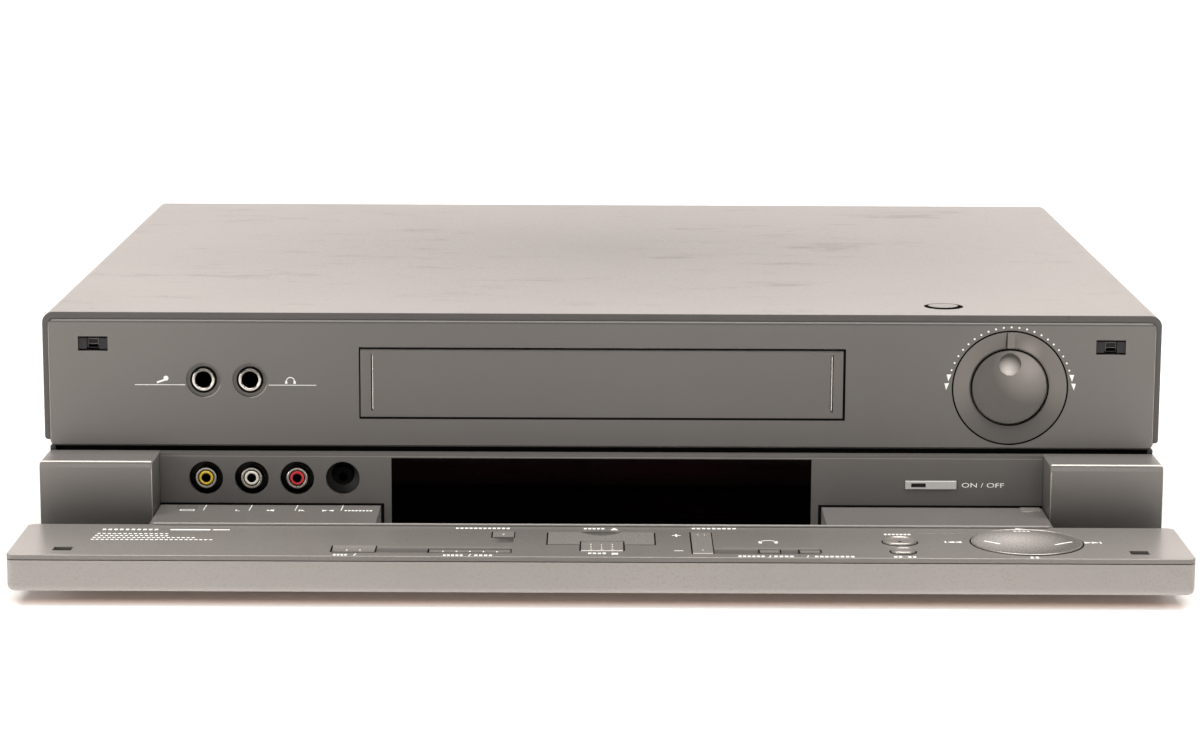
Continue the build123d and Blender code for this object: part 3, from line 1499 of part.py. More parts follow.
with BuildPart() as rear_panel:
    with BuildSketch(Plane.XZ.offset(-rear_panel_y)) as rear_outline:
        span(
            -tray_half + tray_wall + seam, tray_half - tray_wall - seam,
            floor_top, panel_top,
        )
        span(-panel_half, panel_half, foot_height + tray_upstand + seam, panel_top)
        fillet(rear_outline.vertices().group_by(Axis.Y)[-1], panel_corner)
        with Locations((tuner_x, aerial_z)):
            with GridLocations(aerial_pitch, 0, 2, 1):
                Circle(aerial_radius + socket_gap, mode=Mode.SUBTRACT)
        with Locations((scart_x, scart_z)):
            with GridLocations(scart_pitch, 0, 2, 1):
                Rectangle(
                    scart_width + 2 * (scart_wall + socket_gap),
                    scart_height + 2 * (scart_wall + socket_gap), mode=Mode.SUBTRACT,
                )
        with Locations((inlet_x, inlet_z)):
            Rectangle(
                inlet_width + 2 * (inlet_wall + socket_gap),
                inlet_height + 2 * (inlet_wall + socket_gap), mode=Mode.SUBTRACT,
            )
    extrude(amount=rear_sheet)

with BuildPart() as scart_sockets:
    with BuildSketch(Plane.XZ.offset(-rear_panel_y)):
        with Locations((scart_x, scart_z)):
            with GridLocations(scart_pitch, 0, 2, 1):
                Rectangle(scart_width + 2 * scart_wall, scart_height + 2 * scart_wall)
    extrude(amount=scart_depth + scart_wall)
    with BuildSketch(Plane.XZ.offset(-rear_panel_y)):
        with Locations((scart_x, scart_z)):
            with GridLocations(scart_pitch, 0, 2, 1):
                RectangleRounded(
                    scart_width + 2 * (scart_wall + socket_flange),
                    scart_height + 2 * (scart_wall + socket_flange), socket_flange,
                )
    extrude(amount=-scart_wall)
    # Slanted-end shroud round a central contact block.
    with BuildSketch(Plane.XZ.offset(-rear_panel_y - scart_wall)):
        with Locations((scart_x, scart_z)):
            with GridLocations(scart_pitch, 0, 2, 1):
                Trapezoid(scart_width, scart_height, 2 * contact_angle, 90)
                Rectangle(contact_width, contact_height, mode=Mode.SUBTRACT)
    extrude(amount=scart_depth, mode=Mode.SUBTRACT)

with BuildPart() as mains_inlet:
    with BuildSketch(Plane.XZ.offset(-rear_panel_y)):
        with Locations((inlet_x, inlet_z)):
            Rectangle(inlet_width + 2 * inlet_wall, inlet_height + 2 * inlet_wall)
    extrude(amount=inlet_depth)
    with BuildSketch(Plane.XZ.offset(-rear_panel_y)):
        with Locations((inlet_x, inlet_z)):
            RectangleRounded(
                inlet_width + 2 * (inlet_wall + socket_flange),
                inlet_height + 2 * (inlet_wall + socket_flange), socket_flange,
            )
    extrude(amount=-inlet_wall)
    with BuildSketch(Plane.XZ.offset(-rear_panel_y - inlet_wall)):
        with Locations((inlet_x, inlet_z)):
            SlotOverall(inlet_width, inlet_height)
    extrude(amount=inlet_depth, mode=Mode.SUBTRACT)
    with BuildSketch(Plane.XZ.offset(-rear_panel_y + inlet_depth)):
        with Locations((inlet_x, inlet_z)):
            with GridLocations(inlet_pin_pitch, 0, 2, 1):
                Circle(inlet_pin_radius)
    extrude(amount=-inlet_depth)

# ------------------------------------------------------------------ write the pieces
nodes = {
    "top_cover": top_cover,
    "base_tray": base_tray,
    "foot_pads": foot_pads,
    "front_panel": front_panel,
    "cassette_door": cassette_door,
    "shuttle_ring": shuttle_ring,
    "jog_dial": jog_dial,
    "dial_encoder": dial_encoder,
    "latch_sockets": latch_sockets,
    "release_button": release_button,
    "jack_panel": jack_panel,
    "display_window": display_window,
    "front_board": front_board,
    "edit_socket": edit_socket,
    "standby_button": standby_button,
    "flap_shell": flap_shell,
    "flap_board": flap_board,
    "control_plate": control_plate,
    "eject_button": eject_button,
    "stop_button": stop_button,
    "programme_rocker": programme_rocker,
    "play_pad": play_pad,
    "pad_gimbal": pad_gimbal,
    "deck_plate": deck_plate,
    "loading_frame": loading_frame,
    "holder_slider": holder_slider,
    "cassette_holder": cassette_holder,
    "lower_drum": lower_drum,
    "upper_drum": upper_drum,
    "capstan_motor": capstan_motor,
    "capstan": capstan,
    "pinch_arm": pinch_arm,
    "pinch_roller": pinch_roller,
    "tape_guides": tape_guides,
    "main_board": main_board,
    "power_supply": power_supply,
    "tuner": tuner,
    "rear_panel": rear_panel,
    "scart_sockets": scart_sockets,
    "mains_inlet": mains_inlet,
}
for group in (phone_jacks, latches, end_blocks, input_jacks, arms, small_keys, turned_keys, reels):
    nodes.update(group)

os.makedirs("parts", exist_ok=True)
for node_name, node in nodes.items():
    node.part.label = node_name
    export_step(node.part, f"parts/{node_name}.step")
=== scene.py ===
# %% [markdown]
# # A video cassette recorder, dressed
# This notebook loads the solids of a front-loading video recorder and gives them their finishes.
# It then adds the small things that a solid model leaves out: dark seams, printed signs, socket
# sleeves, key dots, bright rims, painted highlights on edges, and screws.

# %% Load the frame
from math import atan2, cos, radians, sin
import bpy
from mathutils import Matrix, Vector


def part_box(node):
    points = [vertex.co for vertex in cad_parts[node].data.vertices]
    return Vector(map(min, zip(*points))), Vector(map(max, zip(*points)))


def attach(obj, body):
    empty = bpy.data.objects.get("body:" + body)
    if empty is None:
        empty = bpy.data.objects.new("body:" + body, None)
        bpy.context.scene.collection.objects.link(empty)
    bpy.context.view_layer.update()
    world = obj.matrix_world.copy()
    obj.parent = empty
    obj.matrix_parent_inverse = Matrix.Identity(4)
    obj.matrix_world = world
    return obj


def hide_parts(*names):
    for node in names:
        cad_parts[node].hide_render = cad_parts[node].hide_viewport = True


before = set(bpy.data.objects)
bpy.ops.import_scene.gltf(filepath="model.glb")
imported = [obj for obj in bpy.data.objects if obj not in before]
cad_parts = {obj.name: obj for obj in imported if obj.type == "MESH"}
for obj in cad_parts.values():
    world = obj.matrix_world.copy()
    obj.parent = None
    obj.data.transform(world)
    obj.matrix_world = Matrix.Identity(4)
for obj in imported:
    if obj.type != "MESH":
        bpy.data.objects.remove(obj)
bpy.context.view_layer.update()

from types import SimpleNamespace

import bpy
from mathutils import Matrix, Vector

MM = 0.001

# %% [markdown]
# ## The camera
# The recorder is seen from the front, a little above its top, through a long lens.
# A long lens keeps the front nearly free of perspective, so the width of the flap and the
# width of the hood can be compared by eye. The directions are worked out first and then put
# into the camera's matrix, because three small turns in a row are easy to get wrong.

# %% Camera
CAMERA_PLACE = Vector((0.12, -1370.2, 299.9)) * MM
CAMERA_PITCH = radians(10.354)
CAMERA_YAW = radians(0.037)
CAMERA_ROLL = radians(0.22)
CAMERA_LENS = 96.7
CAMERA_SENSOR = 36
forward = Vector((
    -sin(CAMERA_YAW) * cos(CAMERA_PITCH),
    cos(CAMERA_YAW) * cos(CAMERA_PITCH),
    -sin(CAMERA_PITCH),
))
level_right = Vector((cos(CAMERA_YAW), sin(CAMERA_YAW), 0))
level_up = level_right.cross(forward)
right = cos(CAMERA_ROLL) * level_right + sin(CAMERA_ROLL) * level_up
up = right.cross(forward)

bpy.ops.object.camera_add(location=CAMERA_PLACE)
camera = bpy.context.object
camera.name = "camera"
camera.data.lens = CAMERA_LENS
camera.data.sensor_width = CAMERA_SENSOR
camera.data.dof.use_dof = False
turn = Matrix((right, up, -forward)).transposed().to_4x4()
camera.matrix_world = Matrix.Translation(CAMERA_PLACE) @ turn
bpy.context.scene.camera = camera
bpy.context.scene.view_settings.view_transform = "Standard"
print("camera looks along", [round(v, 3) for v in forward])

# %% [markdown]
# ## The floor and the light
# A product is best seen on a pale floor that fades to white, under large soft lamps.
# The lamp above lights the whole. A wide one far behind is mirrored by the hood at a low angle
# and makes it glow. Two small ones lift the front from the sides, and the world is a pale sky.

# %% Floor and lights
FLOOR_SIZE = 14
SKY_COLOUR = (1.0, 0.985, 0.97, 1)
SKY_STRENGTH = 0.28
bpy.ops.mesh.primitive_plane_add(size=FLOOR_SIZE, location=(0, 0, 0))
floor = bpy.context.object
floor.name = "floor"

world = bpy.data.worlds.new("studio")
bpy.context.scene.world = world
world.use_nodes = True
sky = world.node_tree.nodes["Background"].inputs
sky["Color"].default_value = SKY_COLOUR
sky["Strength"].default_value = SKY_STRENGTH


def softbox(name, place, target, width, height, power, colour):
    """A rectangular lamp at a place, turned to face a target."""
    bpy.ops.object.light_add(type="AREA", location=place)
    lamp = bpy.context.object
    lamp.name = name
    lamp.data.shape = "RECTANGLE"
    lamp.data.size = width
    lamp.data.size_y = height
    lamp.data.energy = power
    lamp.data.color = colour
    lamp.rotation_euler = (Vector(target) - Vector(place)).to_track_quat("-Z", "Y").to_euler()
    lamp.visible_camera = False
    return lamp


# Name, place, target, width and height in metres, then power in watts and colour.
softbox("lamp_above", (0.0, -0.45, 1.9), (0, -0.1, 0.05), 2.6, 1.3, 68, (1.0, 0.975, 0.95))
far_lamp = softbox("lamp_back", (0, 4.8, 1.35), (0, 0.1, 0.05), 7.5, 2.4, 72, (1.0, 0.90, 0.85))
far_lamp.visible_diffuse = False
softbox("lamp_left", (-1.5, -0.9, 0.35), (0, -0.12, 0.06), 0.6, 0.5, 9, (1.0, 0.97, 0.94))
softbox("lamp_right", (1.7, -0.9, 1.3), (0.1, -0.12, 0.06), 0.8, 0.6, 8, (1.0, 0.98, 0.95))

# %% [markdown]
# ## How a finish is made
# Each finish is one shader with a few textures in front of it. A broad noise makes the colour
# drift, a fine one gives the grain, and a scatter of small specks stands for dust and for the
# metal flakes in the paint. All of them read Object coordinates, which are metres on the real
# thing, so the grain has the same size on every piece.

# %% Finish helpers


def new_finish(name):
    """An empty material with one shader; returns the material, its node tree and its shader."""
    finish = bpy.data.materials.new(name)
    finish.use_nodes = True
    return finish, finish.node_tree, finish.node_tree.nodes["Principled BSDF"]


def feed(tree, node, inputs):
    """Gives each input of a node a value, or a link if it is given another node's output."""
    for name, value in inputs.items():
        if hasattr(value, "node"):
            tree.links.new(value, node.inputs[name])
        else:
            node.inputs[name].default_value = value


def add_node(tree, kind, inputs, **settings):
    """A new node with its settings and its inputs."""
    node = tree.nodes.new("ShaderNode" + kind)
    for name, value in settings.items():
        setattr(node, name, value)
    feed(tree, node, inputs)
    return node


def place_on(tree):
    """The Object coordinates of a piece."""
    return add_node(tree, "TexCoord", {}).outputs["Object"]


def noise(tree, place, scale, detail=4.0, roughness=0.55):
    """A noise texture that reads a place."""
    inputs = {"Vector": place, "Scale": scale, "Detail": detail, "Roughness": roughness}
    return add_node(tree, "TexNoise", inputs).outputs["Fac"]


def remap(tree, value, low, high, to_low, to_high):
    """Stretches a value from one range to another, and stops at its ends."""
    inputs = {"Value": value, "From Min": low, "From Max": high, "To Min": to_low, "To Max": to_high}
    return add_node(tree, "MapRange", inputs).outputs["Result"]


def combine(tree, operation, first, second):
    """One value from two, such as their sum."""
    return add_node(tree, "Math", {0: first, 1: second}, operation=operation).outputs[0]


def blend_colours(tree, amount, first, second):
    """Goes from the first colour to the second as the amount goes from 0 to 1."""
    inputs = {"Factor": amount, "A": first, "B": second}
    return add_node(tree, "Mix", inputs, data_type="RGBA").outputs["Result"]


# %% Light and dark places in a finish


def scale_colour(finish, factor):
    """Multiplies the colour of a finish by a value."""
    tree = finish.node_tree
    shader = tree.nodes["Principled BSDF"]
    colour = shader.inputs["Base Color"].links[0].from_socket
    scaled = add_node(tree, "HueSaturation", {"Value": factor, "Color": colour})
    feed(tree, shader, {"Base Color": scaled.outputs["Color"]})


def shaded_along(finish, axis, start, end, first, last):
    """Scales the colour of a finish from one factor to another between two places, in mm."""
    tree = finish.node_tree
    split = add_node(tree, "SeparateXYZ", {"Vector": place_on(tree)})
    scale_colour(finish, remap(tree, split.outputs[axis], start * MM, end * MM, first, last))
    return finish


def spotted(finish, place, near, far, first, last, shines=None):
    """Scales the colour with the distance from a place, in mm, and the shine too if asked."""
    tree = finish.node_tree
    inputs = {0: place_on(tree), 1: Vector(place) * MM}
    distance = add_node(tree, "VectorMath", inputs, operation="DISTANCE").outputs["Value"]
    scale_colour(finish, remap(tree, distance, near * MM, far * MM, first, last))
    if shines:
        shine = remap(tree, distance, near * MM, far * MM, *shines)
        feed(tree, tree.nodes["Principled BSDF"], {"Specular IOR Level": shine})
    return finish


# %% The usual finish
ROUGH_SPREAD = 0.05
BUMP_STRENGTH = 0.35


def moulded(name, dark, light, rough, grain=1600, grain_depth=0.00002, metallic=0.0,
            speck=None, speck_share=0.03, speck_scale=900, coat=0.0, drift=9, shine=0.5):
    """Moulded or painted surface: drifting colour, fine grain and scattered specks."""
    finish, tree, shader = new_finish(name)
    place = place_on(tree)
    broad = remap(tree, noise(tree, place, drift), 0.35, 0.65, 0, 1)
    colour = blend_colours(tree, broad, (*dark, 1), (*light, 1))
    if speck:
        spots = add_node(tree, "TexVoronoi", {"Scale": speck_scale, "Vector": place})
        chosen = add_node(tree, "SeparateColor", {"Color": spots.outputs["Color"]})
        share = remap(tree, chosen.outputs["Red"], 1 - speck_share, 1, 0, 1)
        colour = blend_colours(tree, share, colour, (*speck, 1))
    fine = noise(tree, place, grain, 2.0)
    bump = add_node(tree, "Bump", {"Distance": grain_depth, "Strength": BUMP_STRENGTH, "Height": fine})
    feed(tree, shader, {
        "Base Color": colour,
        "Roughness": remap(tree, fine, 0.3, 0.7, rough - ROUGH_SPREAD, rough + ROUGH_SPREAD),
        "Normal": bump.outputs["Normal"],
        "Metallic": metallic,
        "Coat Weight": coat,
        "Specular IOR Level": shine,
    })
    return finish


# %% [markdown]
# ## Measures of the solids
# Everything that is added sits on a solid, and many paints get lighter or darker across one, so
# sizes and places are worked out from the box of a solid. One helper gives the box in
# millimetres, with plain names for its sides.

# %% Measures


def solid(name):
    """Sides and middle of a solid's box in mm, and half its width as a radius."""
    low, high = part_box(name)
    return SimpleNamespace(
        left=low.x / MM, right=high.x / MM, front=low.y / MM, back=high.y / MM,
        bottom=low.z / MM, top=high.z / MM, radius=(high.x - low.x) / 2 / MM,
        x=(low.x + high.x) / 2 / MM, y=(low.y + high.y) / 2 / MM, z=(low.z + high.z) / 2 / MM,
    )


HOOD = solid("top_cover")
print("hood from", round(HOOD.front, 2), "to", round(HOOD.back, 2), "and up to", round(HOOD.top, 2))

# %% [markdown]
# ## Painted steel for the hood
# The hood is a folded steel sheet with a satin paint. It carries dust and faint rubbing marks,
# and mirrors the far lamp at a low angle. The rubbing marks are a noise stretched along one
# direction. They dull the gloss and darken the paint a little.

# %% Hood paint
RUB_TURN = radians(24)
RUB_SCALE = 14
hood_paint_and_shade = moulded(
    "hood_paint_and_shade", (0.236, 0.216, 0.205), (0.252, 0.231, 0.219), 0.38,
    speck=(0.16, 0.145, 0.135), speck_share=0.006, grain_depth=0.00003,
)


def rubbed(finish, amount, stretch):
    """Adds long faint rubbing marks to the gloss and the colour of a finish."""
    tree = finish.node_tree
    shader = tree.nodes["Principled BSDF"]
    inputs = {"Vector": place_on(tree), "Scale": stretch, "Rotation": (0, 0, RUB_TURN)}
    drawn_out = add_node(tree, "Mapping", inputs).outputs["Vector"]
    marks = noise(tree, drawn_out, RUB_SCALE, 9.0, 0.78)
    rough = shader.inputs["Roughness"].links[0].from_socket
    duller = remap(tree, marks, 0.56, 0.72, 0, amount)
    feed(tree, shader, {"Roughness": combine(tree, "ADD", rough, duller)})
    scale_colour(finish, remap(tree, marks, 0.54, 0.76, 1, 0.62))


rubbed(hood_paint_and_shade, 0.10, (1.0, 3.2, 1.0))
# Painted shade: the folded front lip of the hood is painted darker, for the shade it lies in, and
# the middle of the top is painted darker, with less shine, as a painted dim reflection.
shaded_along(hood_paint_and_shade, "Y", HOOD.front + 0.2, HOOD.front + 1.6, 0.26, 1.0)
spotted(hood_paint_and_shade, (5, 60, 96), 10, 230, 0.69, 1.09, (0.38, 0.52))
# The button in the hood wears the same paint, with a painted shade and no shine on a crescent
# along its front edge, where that edge turns down.
release_paint_and_shade = moulded("release_paint_and_shade", (0.216, 0.204, 0.194), (0.236, 0.222, 0.211), 0.38)
RELEASE = solid("release_button")
release_light = (RELEASE.x, RELEASE.y + 2.6, RELEASE.top)
spotted(release_paint_and_shade, release_light, 5.4, 6.1, 0.95, 0.02, (0.45, 0.0))
print("hood paint has", len(hood_paint_and_shade.node_tree.nodes), "nodes")

# %% [markdown]
# ## Painted plastic for the front
# The panel, the flap and the keys are moulded plastic with a grey metallic paint. It is a little
# lighter on the flap and its keys, and darker on the panel. The moulding round the display is
# painted darker still, a painted shade, as it lies set back between the end blocks. Wide mouldings
# are never evenly lit, so each paint carries painted light and shade: it is a little lighter or
# darker from one end to the other.

# %% Paints of the panel and the flap
PANEL_COLOURS = ((0.160, 0.150, 0.142), (0.170, 0.160, 0.151))
PLATE_COLOURS = ((0.262, 0.244, 0.228), (0.280, 0.261, 0.244))
panel_paint_and_shade = moulded("panel_paint_and_shade", *PANEL_COLOURS, 0.38, metallic=0.25)
# Painted light and shade on the panel: lighter at its left end and towards its right end, a little lighter
# towards the top, and painted shade over its top fillet.
shaded_along(panel_paint_and_shade, "X", -218, -90, 1.0, 0.80)
shaded_along(panel_paint_and_shade, "X", 110, 215, 1.0, 1.24)
shaded_along(panel_paint_and_shade, "Z", 50, 92, 0.92, 0.95)
shaded_along(panel_paint_and_shade, "Z", 91.9, 92.6, 1.0, 0.28)
bezel_paint_and_shade = moulded("bezel_paint_and_shade", (0.118, 0.111, 0.105), (0.128, 0.120, 0.113), 0.38, metallic=0.25)
plate_paint_and_shade = moulded(
    "plate_paint_and_shade", *PLATE_COLOURS, 0.32, metallic=0.3,
    speck=(0.31, 0.290, 0.270), speck_share=0.06, speck_scale=2600,
)
flap_paint_and_shade = moulded(
    "flap_paint_and_shade", (0.262, 0.246, 0.232), (0.284, 0.266, 0.251), 0.38,
    speck=(0.240, 0.225, 0.212), speck_share=0.25, speck_scale=1800,
)
# Painted shade: both are darker in the middle, and the plate is darker towards its back and on
# its front edge.
spotted(flap_paint_and_shade, (0, -213, 12), 20, 210, 0.92, 1.0)
spotted(plate_paint_and_shade, (0, -190, 20), 20, 210, 0.80, 1.08)
shaded_along(plate_paint_and_shade, "Y", -168, -200, 0.84, 1.0)
shaded_along(plate_paint_and_shade, "Z", 20.3, 19.9, 1.0, 0.60)
print("front paints done")

# %% Paints of the dial
# The ring and the jog dial are dished, and a painted sheen lies on their upper right. The dimple
# gets a painted highlight low in it, with more shine there.
DIAL = solid("jog_dial")
DIAL_COLOURS = ((0.205, 0.192, 0.181), (0.215, 0.202, 0.190))
ring_paint_and_sheen = moulded("ring_paint_and_sheen", *DIAL_COLOURS, 0.36, metallic=0.85, grain_depth=0.000004)
spotted(ring_paint_and_sheen, (DIAL.x + 7, DIAL.front, DIAL.z + 14.5), 0.5, 6.0, 1.30, 0.84)
jog_paint_and_sheen = moulded("jog_paint_and_sheen", *DIAL_COLOURS, 0.37, metallic=0.85, grain_depth=0.0000004)
spotted(jog_paint_and_sheen, (DIAL.x + 8, DIAL.front, DIAL.z + 8), 2, 15, 1.32, 0.55)
dimple_paint_and_highlight = moulded("dimple_paint_and_highlight", (0.30, 0.283, 0.266), (0.32, 0.302, 0.284), 0.42, 1600, 0.000001)
dimple_highlight_place = (DIAL.x - 0.6, DIAL.front + 1.5, DIAL.z + 6.9)
spotted(dimple_paint_and_highlight, dimple_highlight_place, 0.8, 5.5, 1.85, 0.28, (0.5, 0.1))
print("dial paints done")

# %% Paints of the keys and of the painted highlights
# The arms of the flap are painted darker than the plate: painted shade, for the shade they lie in beside
# the bezel.
arm_paint_and_shade = moulded("arm_paint_and_shade", (0.148, 0.138, 0.130), (0.158, 0.148, 0.139), 0.40, metallic=0.2)
# Bright finishes for painted highlights on edges, rims, dots and grooves that catch the light.
edge_sheen_paint = moulded("edge_sheen_paint", (0.30, 0.28, 0.26), (0.38, 0.36, 0.33), 0.34, metallic=0.4)
key_paint = moulded("key_paint", *PLATE_COLOURS, 0.30, metallic=0.3, grain_depth=0.000004)
pad_paint_and_highlight = moulded(
    "pad_paint_and_highlight", (0.380, 0.355, 0.332), (0.400, 0.374, 0.350), 0.30, metallic=0.35, grain_depth=0.000004,
)
PAD = solid("play_pad")
# Painted highlight: the pad is much lighter a little left of its middle, with more shine there, and darker
# towards its rim.
spotted(pad_paint_and_highlight, (PAD.x - 5, PAD.y, PAD.top), 2, 21, 1.68, 0.45, (0.8, 0.0))
pale_paint = moulded("pale_key_paint", (0.46, 0.455, 0.44), (0.50, 0.495, 0.48), 0.35)
chamfer_highlight_paint = moulded("chamfer_sheen", (0.66, 0.62, 0.58), (0.76, 0.72, 0.67), 0.30, metallic=0.2)
glint_paint = moulded("glint_edge", (0.46, 0.43, 0.40), (0.56, 0.53, 0.49), 0.24, metallic=0.7)
shade_and_highlight_grey = moulded("shade_and_highlight_grey", (0.09, 0.084, 0.079), (0.10, 0.094, 0.088), 0.45)

# The two end blocks, with painted shade: dark towards the floor and on the side that faces the flap.
BLOCK_FOOT = 14
block_paints_and_shade = {}
for name, side in (("left_end_block", -1), ("right_end_block", 1)):
    block = solid(name)
    inner = block.right if side < 0 else block.left
    finish = moulded(name + "_paint", *PANEL_COLOURS, 0.36, metallic=0.3)
    shaded_along(finish, "Z", BLOCK_FOOT, block.top, 0.34, 1.15)
    block_paints_and_shade[name] = shaded_along(finish, "X", inner + side * 0.05, inner + side * 0.5, 0.95, 1.0)
print("block paints:", list(block_paints_and_shade))

# %% [markdown]
# ## Black plastics, rubber and the display window
# Black parts still need some life: a fine grain and a gloss that drifts. The display window is
# smoked acrylic, so it is nearly black and very smooth, with a faint red tint that is painted
# lighter towards the top: a painted reflection.

# %% Dark finishes
black_plastic = moulded("black_plastic", (0.005, 0.005, 0.005), (0.010, 0.009, 0.009), 0.36, shine=0.22)
latch_plastic = moulded("latch_plastic", (0.018, 0.017, 0.0185), (0.022, 0.021, 0.0225), 0.42, shine=0.3)
seam_black = moulded("seam_black", (0.0015, 0.0015, 0.0015), (0.003, 0.003, 0.003), 0.8, shine=0.05)
tray_plastic = moulded(
    "tray_plastic", (0.014, 0.014, 0.014), (0.022, 0.021, 0.021), 0.48, grain=900, grain_depth=0.00005,
)
rubber = moulded(
    "rubber", (0.016, 0.016, 0.016), (0.026, 0.025, 0.024), 0.75, grain=700, grain_depth=0.00006,
)
smoked_and_reflection = moulded(
    "smoked_window", (0.0008, 0.0002, 0.0002), (0.0016, 0.0003, 0.0004), 0.06,
    grain=300, grain_depth=0.000001, drift=22, shine=0.03,
)
# Painted reflection: the window is lighter towards its top and darker towards its bottom.
shaded_along(smoked_and_reflection, "Z", 28, 34, 0.2, 1.8)
print("dark finishes done")

# %% [markdown]
# ## Metals and boards
# Zinc-plated sheet shows a soft spangle, turned steel and the polished drum show a fine grain,
# and nickel on the sockets is bright. The boards are green laminate.

# %% Metals and boards
zinc = moulded("zinc_sheet", (0.50, 0.50, 0.49), (0.62, 0.62, 0.60), 0.34, 500, metallic=1.0, drift=120)
steel = moulded("turned_steel", (0.55, 0.54, 0.52), (0.63, 0.62, 0.60), 0.22, metallic=1.0, grain=2400)
dark_steel = moulded("blackened_steel", (0.060, 0.058, 0.056), (0.085, 0.082, 0.078), 0.32, metallic=0.7)
drum_metal = moulded(
    "polished_drum", (0.72, 0.72, 0.72), (0.80, 0.80, 0.80), 0.12, metallic=1.0, grain=2600,
)
nickel = moulded("nickel", (0.46, 0.43, 0.39), (0.54, 0.51, 0.47), 0.20, metallic=1.0, grain=2000)
laminate = moulded(
    "board_laminate", (0.012, 0.06, 0.028), (0.018, 0.085, 0.04), 0.40, drift=60,
    speck=(0.55, 0.54, 0.50), speck_share=0.05, speck_scale=420, coat=0.3,
)
white_plastic = moulded("white_plastic", (0.70, 0.69, 0.66), (0.78, 0.77, 0.74), 0.38)
white_print = moulded("white_print", (0.86, 0.86, 0.84), (0.93, 0.93, 0.91), 0.5, grain=3000)
print("finishes so far:", len(bpy.data.materials))

# %% [markdown]
# ## Finishes go onto the solids
# Each solid of the frame has one material slot. A table from finish to solids is enough.

# %% Finishes on the solids
finishes = {
    hood_paint_and_shade: ("top_cover",),
    release_paint_and_shade: ("release_button",),
    panel_paint_and_shade: ("front_panel", "cassette_door"),
    bezel_paint_and_shade: ("jack_panel",),
    block_paints_and_shade["left_end_block"]: ("left_end_block",),
    block_paints_and_shade["right_end_block"]: ("right_end_block",),
    pad_paint_and_highlight: ("play_pad",),
    plate_paint_and_shade: ("control_plate",),
    arm_paint_and_shade: ("left_arm", "right_arm"),
    flap_paint_and_shade: ("flap_shell",),
    ring_paint_and_sheen: ("shuttle_ring",),
    jog_paint_and_sheen: ("jog_dial",),
    key_paint: (
        "eject_button", "stop_button", "programme_rocker", "menu_key", "index_key",
        "dubbing_key", "stereo_key", "select_key", "record_button", "speed_button",
    ),
    pale_paint: ("standby_button",),
    black_plastic: (
        "dial_encoder", "left_latch", "right_latch", "scart_sockets", "mains_inlet",
        "microphone_jack", "headphone_jack", "video_jack", "left_audio_jack", "right_audio_jack",
    ),
    tray_plastic: ("base_tray", "rear_panel"),
    rubber: ("foot_pads", "pinch_roller"),
    latch_plastic: ("latch_sockets",),
    # The editing socket takes the matt black of the seams, a painted shade, so it reads as a deep hole.
    seam_black: ("edit_socket",),
    smoked_and_reflection: ("display_window",),
    zinc: (
        "cassette_holder", "holder_slider", "loading_frame", "deck_plate", "pinch_arm", "tuner",
    ),
    steel: ("capstan", "capstan_motor", "tape_guides"),
    drum_metal: ("lower_drum", "upper_drum"),
    laminate: ("front_board", "flap_board", "main_board", "power_supply"),
    white_plastic: ("pad_gimbal", "supply_reel", "takeup_reel"),
}
dressed = set()
for finish, names in finishes.items():
    for name in names:
        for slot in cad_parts[name].material_slots:
            slot.material = finish
        dressed.add(name)
print("solids without a finish:", sorted(set(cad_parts) - dressed))

# %% [markdown]
# ## Paper for the floor
# The floor is pale paper. It glows more with distance, so it fades to white, and along the front
# edge of the flap, so the shadow under the flap stays narrow. In front of the flap the little
# glow is warm, like light that bounced off it, and everywhere else it is white.

# %% Floor paper
WARM_GLOW = (1, 0.45, 0.22, 1)
WHITE_GLOW = (1, 0.97, 0.95, 1)
FLAP_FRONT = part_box("flap_shell")[0].y
paper, tree, shader = new_finish("floor_paper")
place = place_on(tree)
distance = add_node(tree, "VectorMath", {0: place}, operation="LENGTH").outputs["Value"]
depth = add_node(tree, "SeparateXYZ", {"Vector": place}).outputs["Y"]
far = remap(tree, distance, 0.5, 2.2, 0, 0.9)
edge = remap(tree, depth, FLAP_FRONT + 0.0145, FLAP_FRONT + 0.001, 0, 0.65)
fading = remap(tree, depth, FLAP_FRONT - 0.03, FLAP_FRONT, 0, 1)
glow = combine(tree, "ADD", far, combine(tree, "MULTIPLY", edge, fading))
brighter = remap(tree, glow, 0, 0.5, 0, 1)
behind = remap(tree, depth, FLAP_FRONT + 0.01, FLAP_FRONT + 0.04, 0, 1)
whiter = combine(tree, "MAXIMUM", brighter, behind)
feed(tree, shader, {
    "Base Color": (0.92, 0.915, 0.905, 1),
    "Roughness": 0.8,
    "Emission Color": blend_colours(tree, whiter, WARM_GLOW, WHITE_GLOW),
    "Emission Strength": remap(tree, glow, 0, 1, 0.06, 1.06),
})
floor.data.materials.append(paper)
print("floor paper done")


# %% [markdown]
# ## Printed marks
# White marks are screen-printed: a film of ink some hundredths of a millimetre thick.
# A flat filled curve is the easy way to draw one. It is made a mesh, then stood up on the
# panel or laid on the flap. The outlines are given in millimetres, across and up.

# %% Outlines


def bar(x0, x1, v0, v1):
    """Upright rectangle."""
    return [(x0, v0), (x1, v0), (x1, v1), (x0, v1)]


def disc(x, v, radius, count=20):
    """Circle as an outline."""
    angles = [radians(360 * i / count) for i in range(count)]
    return [(x + radius * cos(angle), v + radius * sin(angle)) for angle in angles]


def stroke(x0, v0, x1, v1, width):
    """Straight line with a width."""
    along = Vector((x1 - x0, v1 - v0)).normalized() * width / 2
    across = Vector((-along.y, along.x))
    start, end = Vector((x0, v0)), Vector((x1, v1))
    return [start + across, start - across, end - across, end + across]


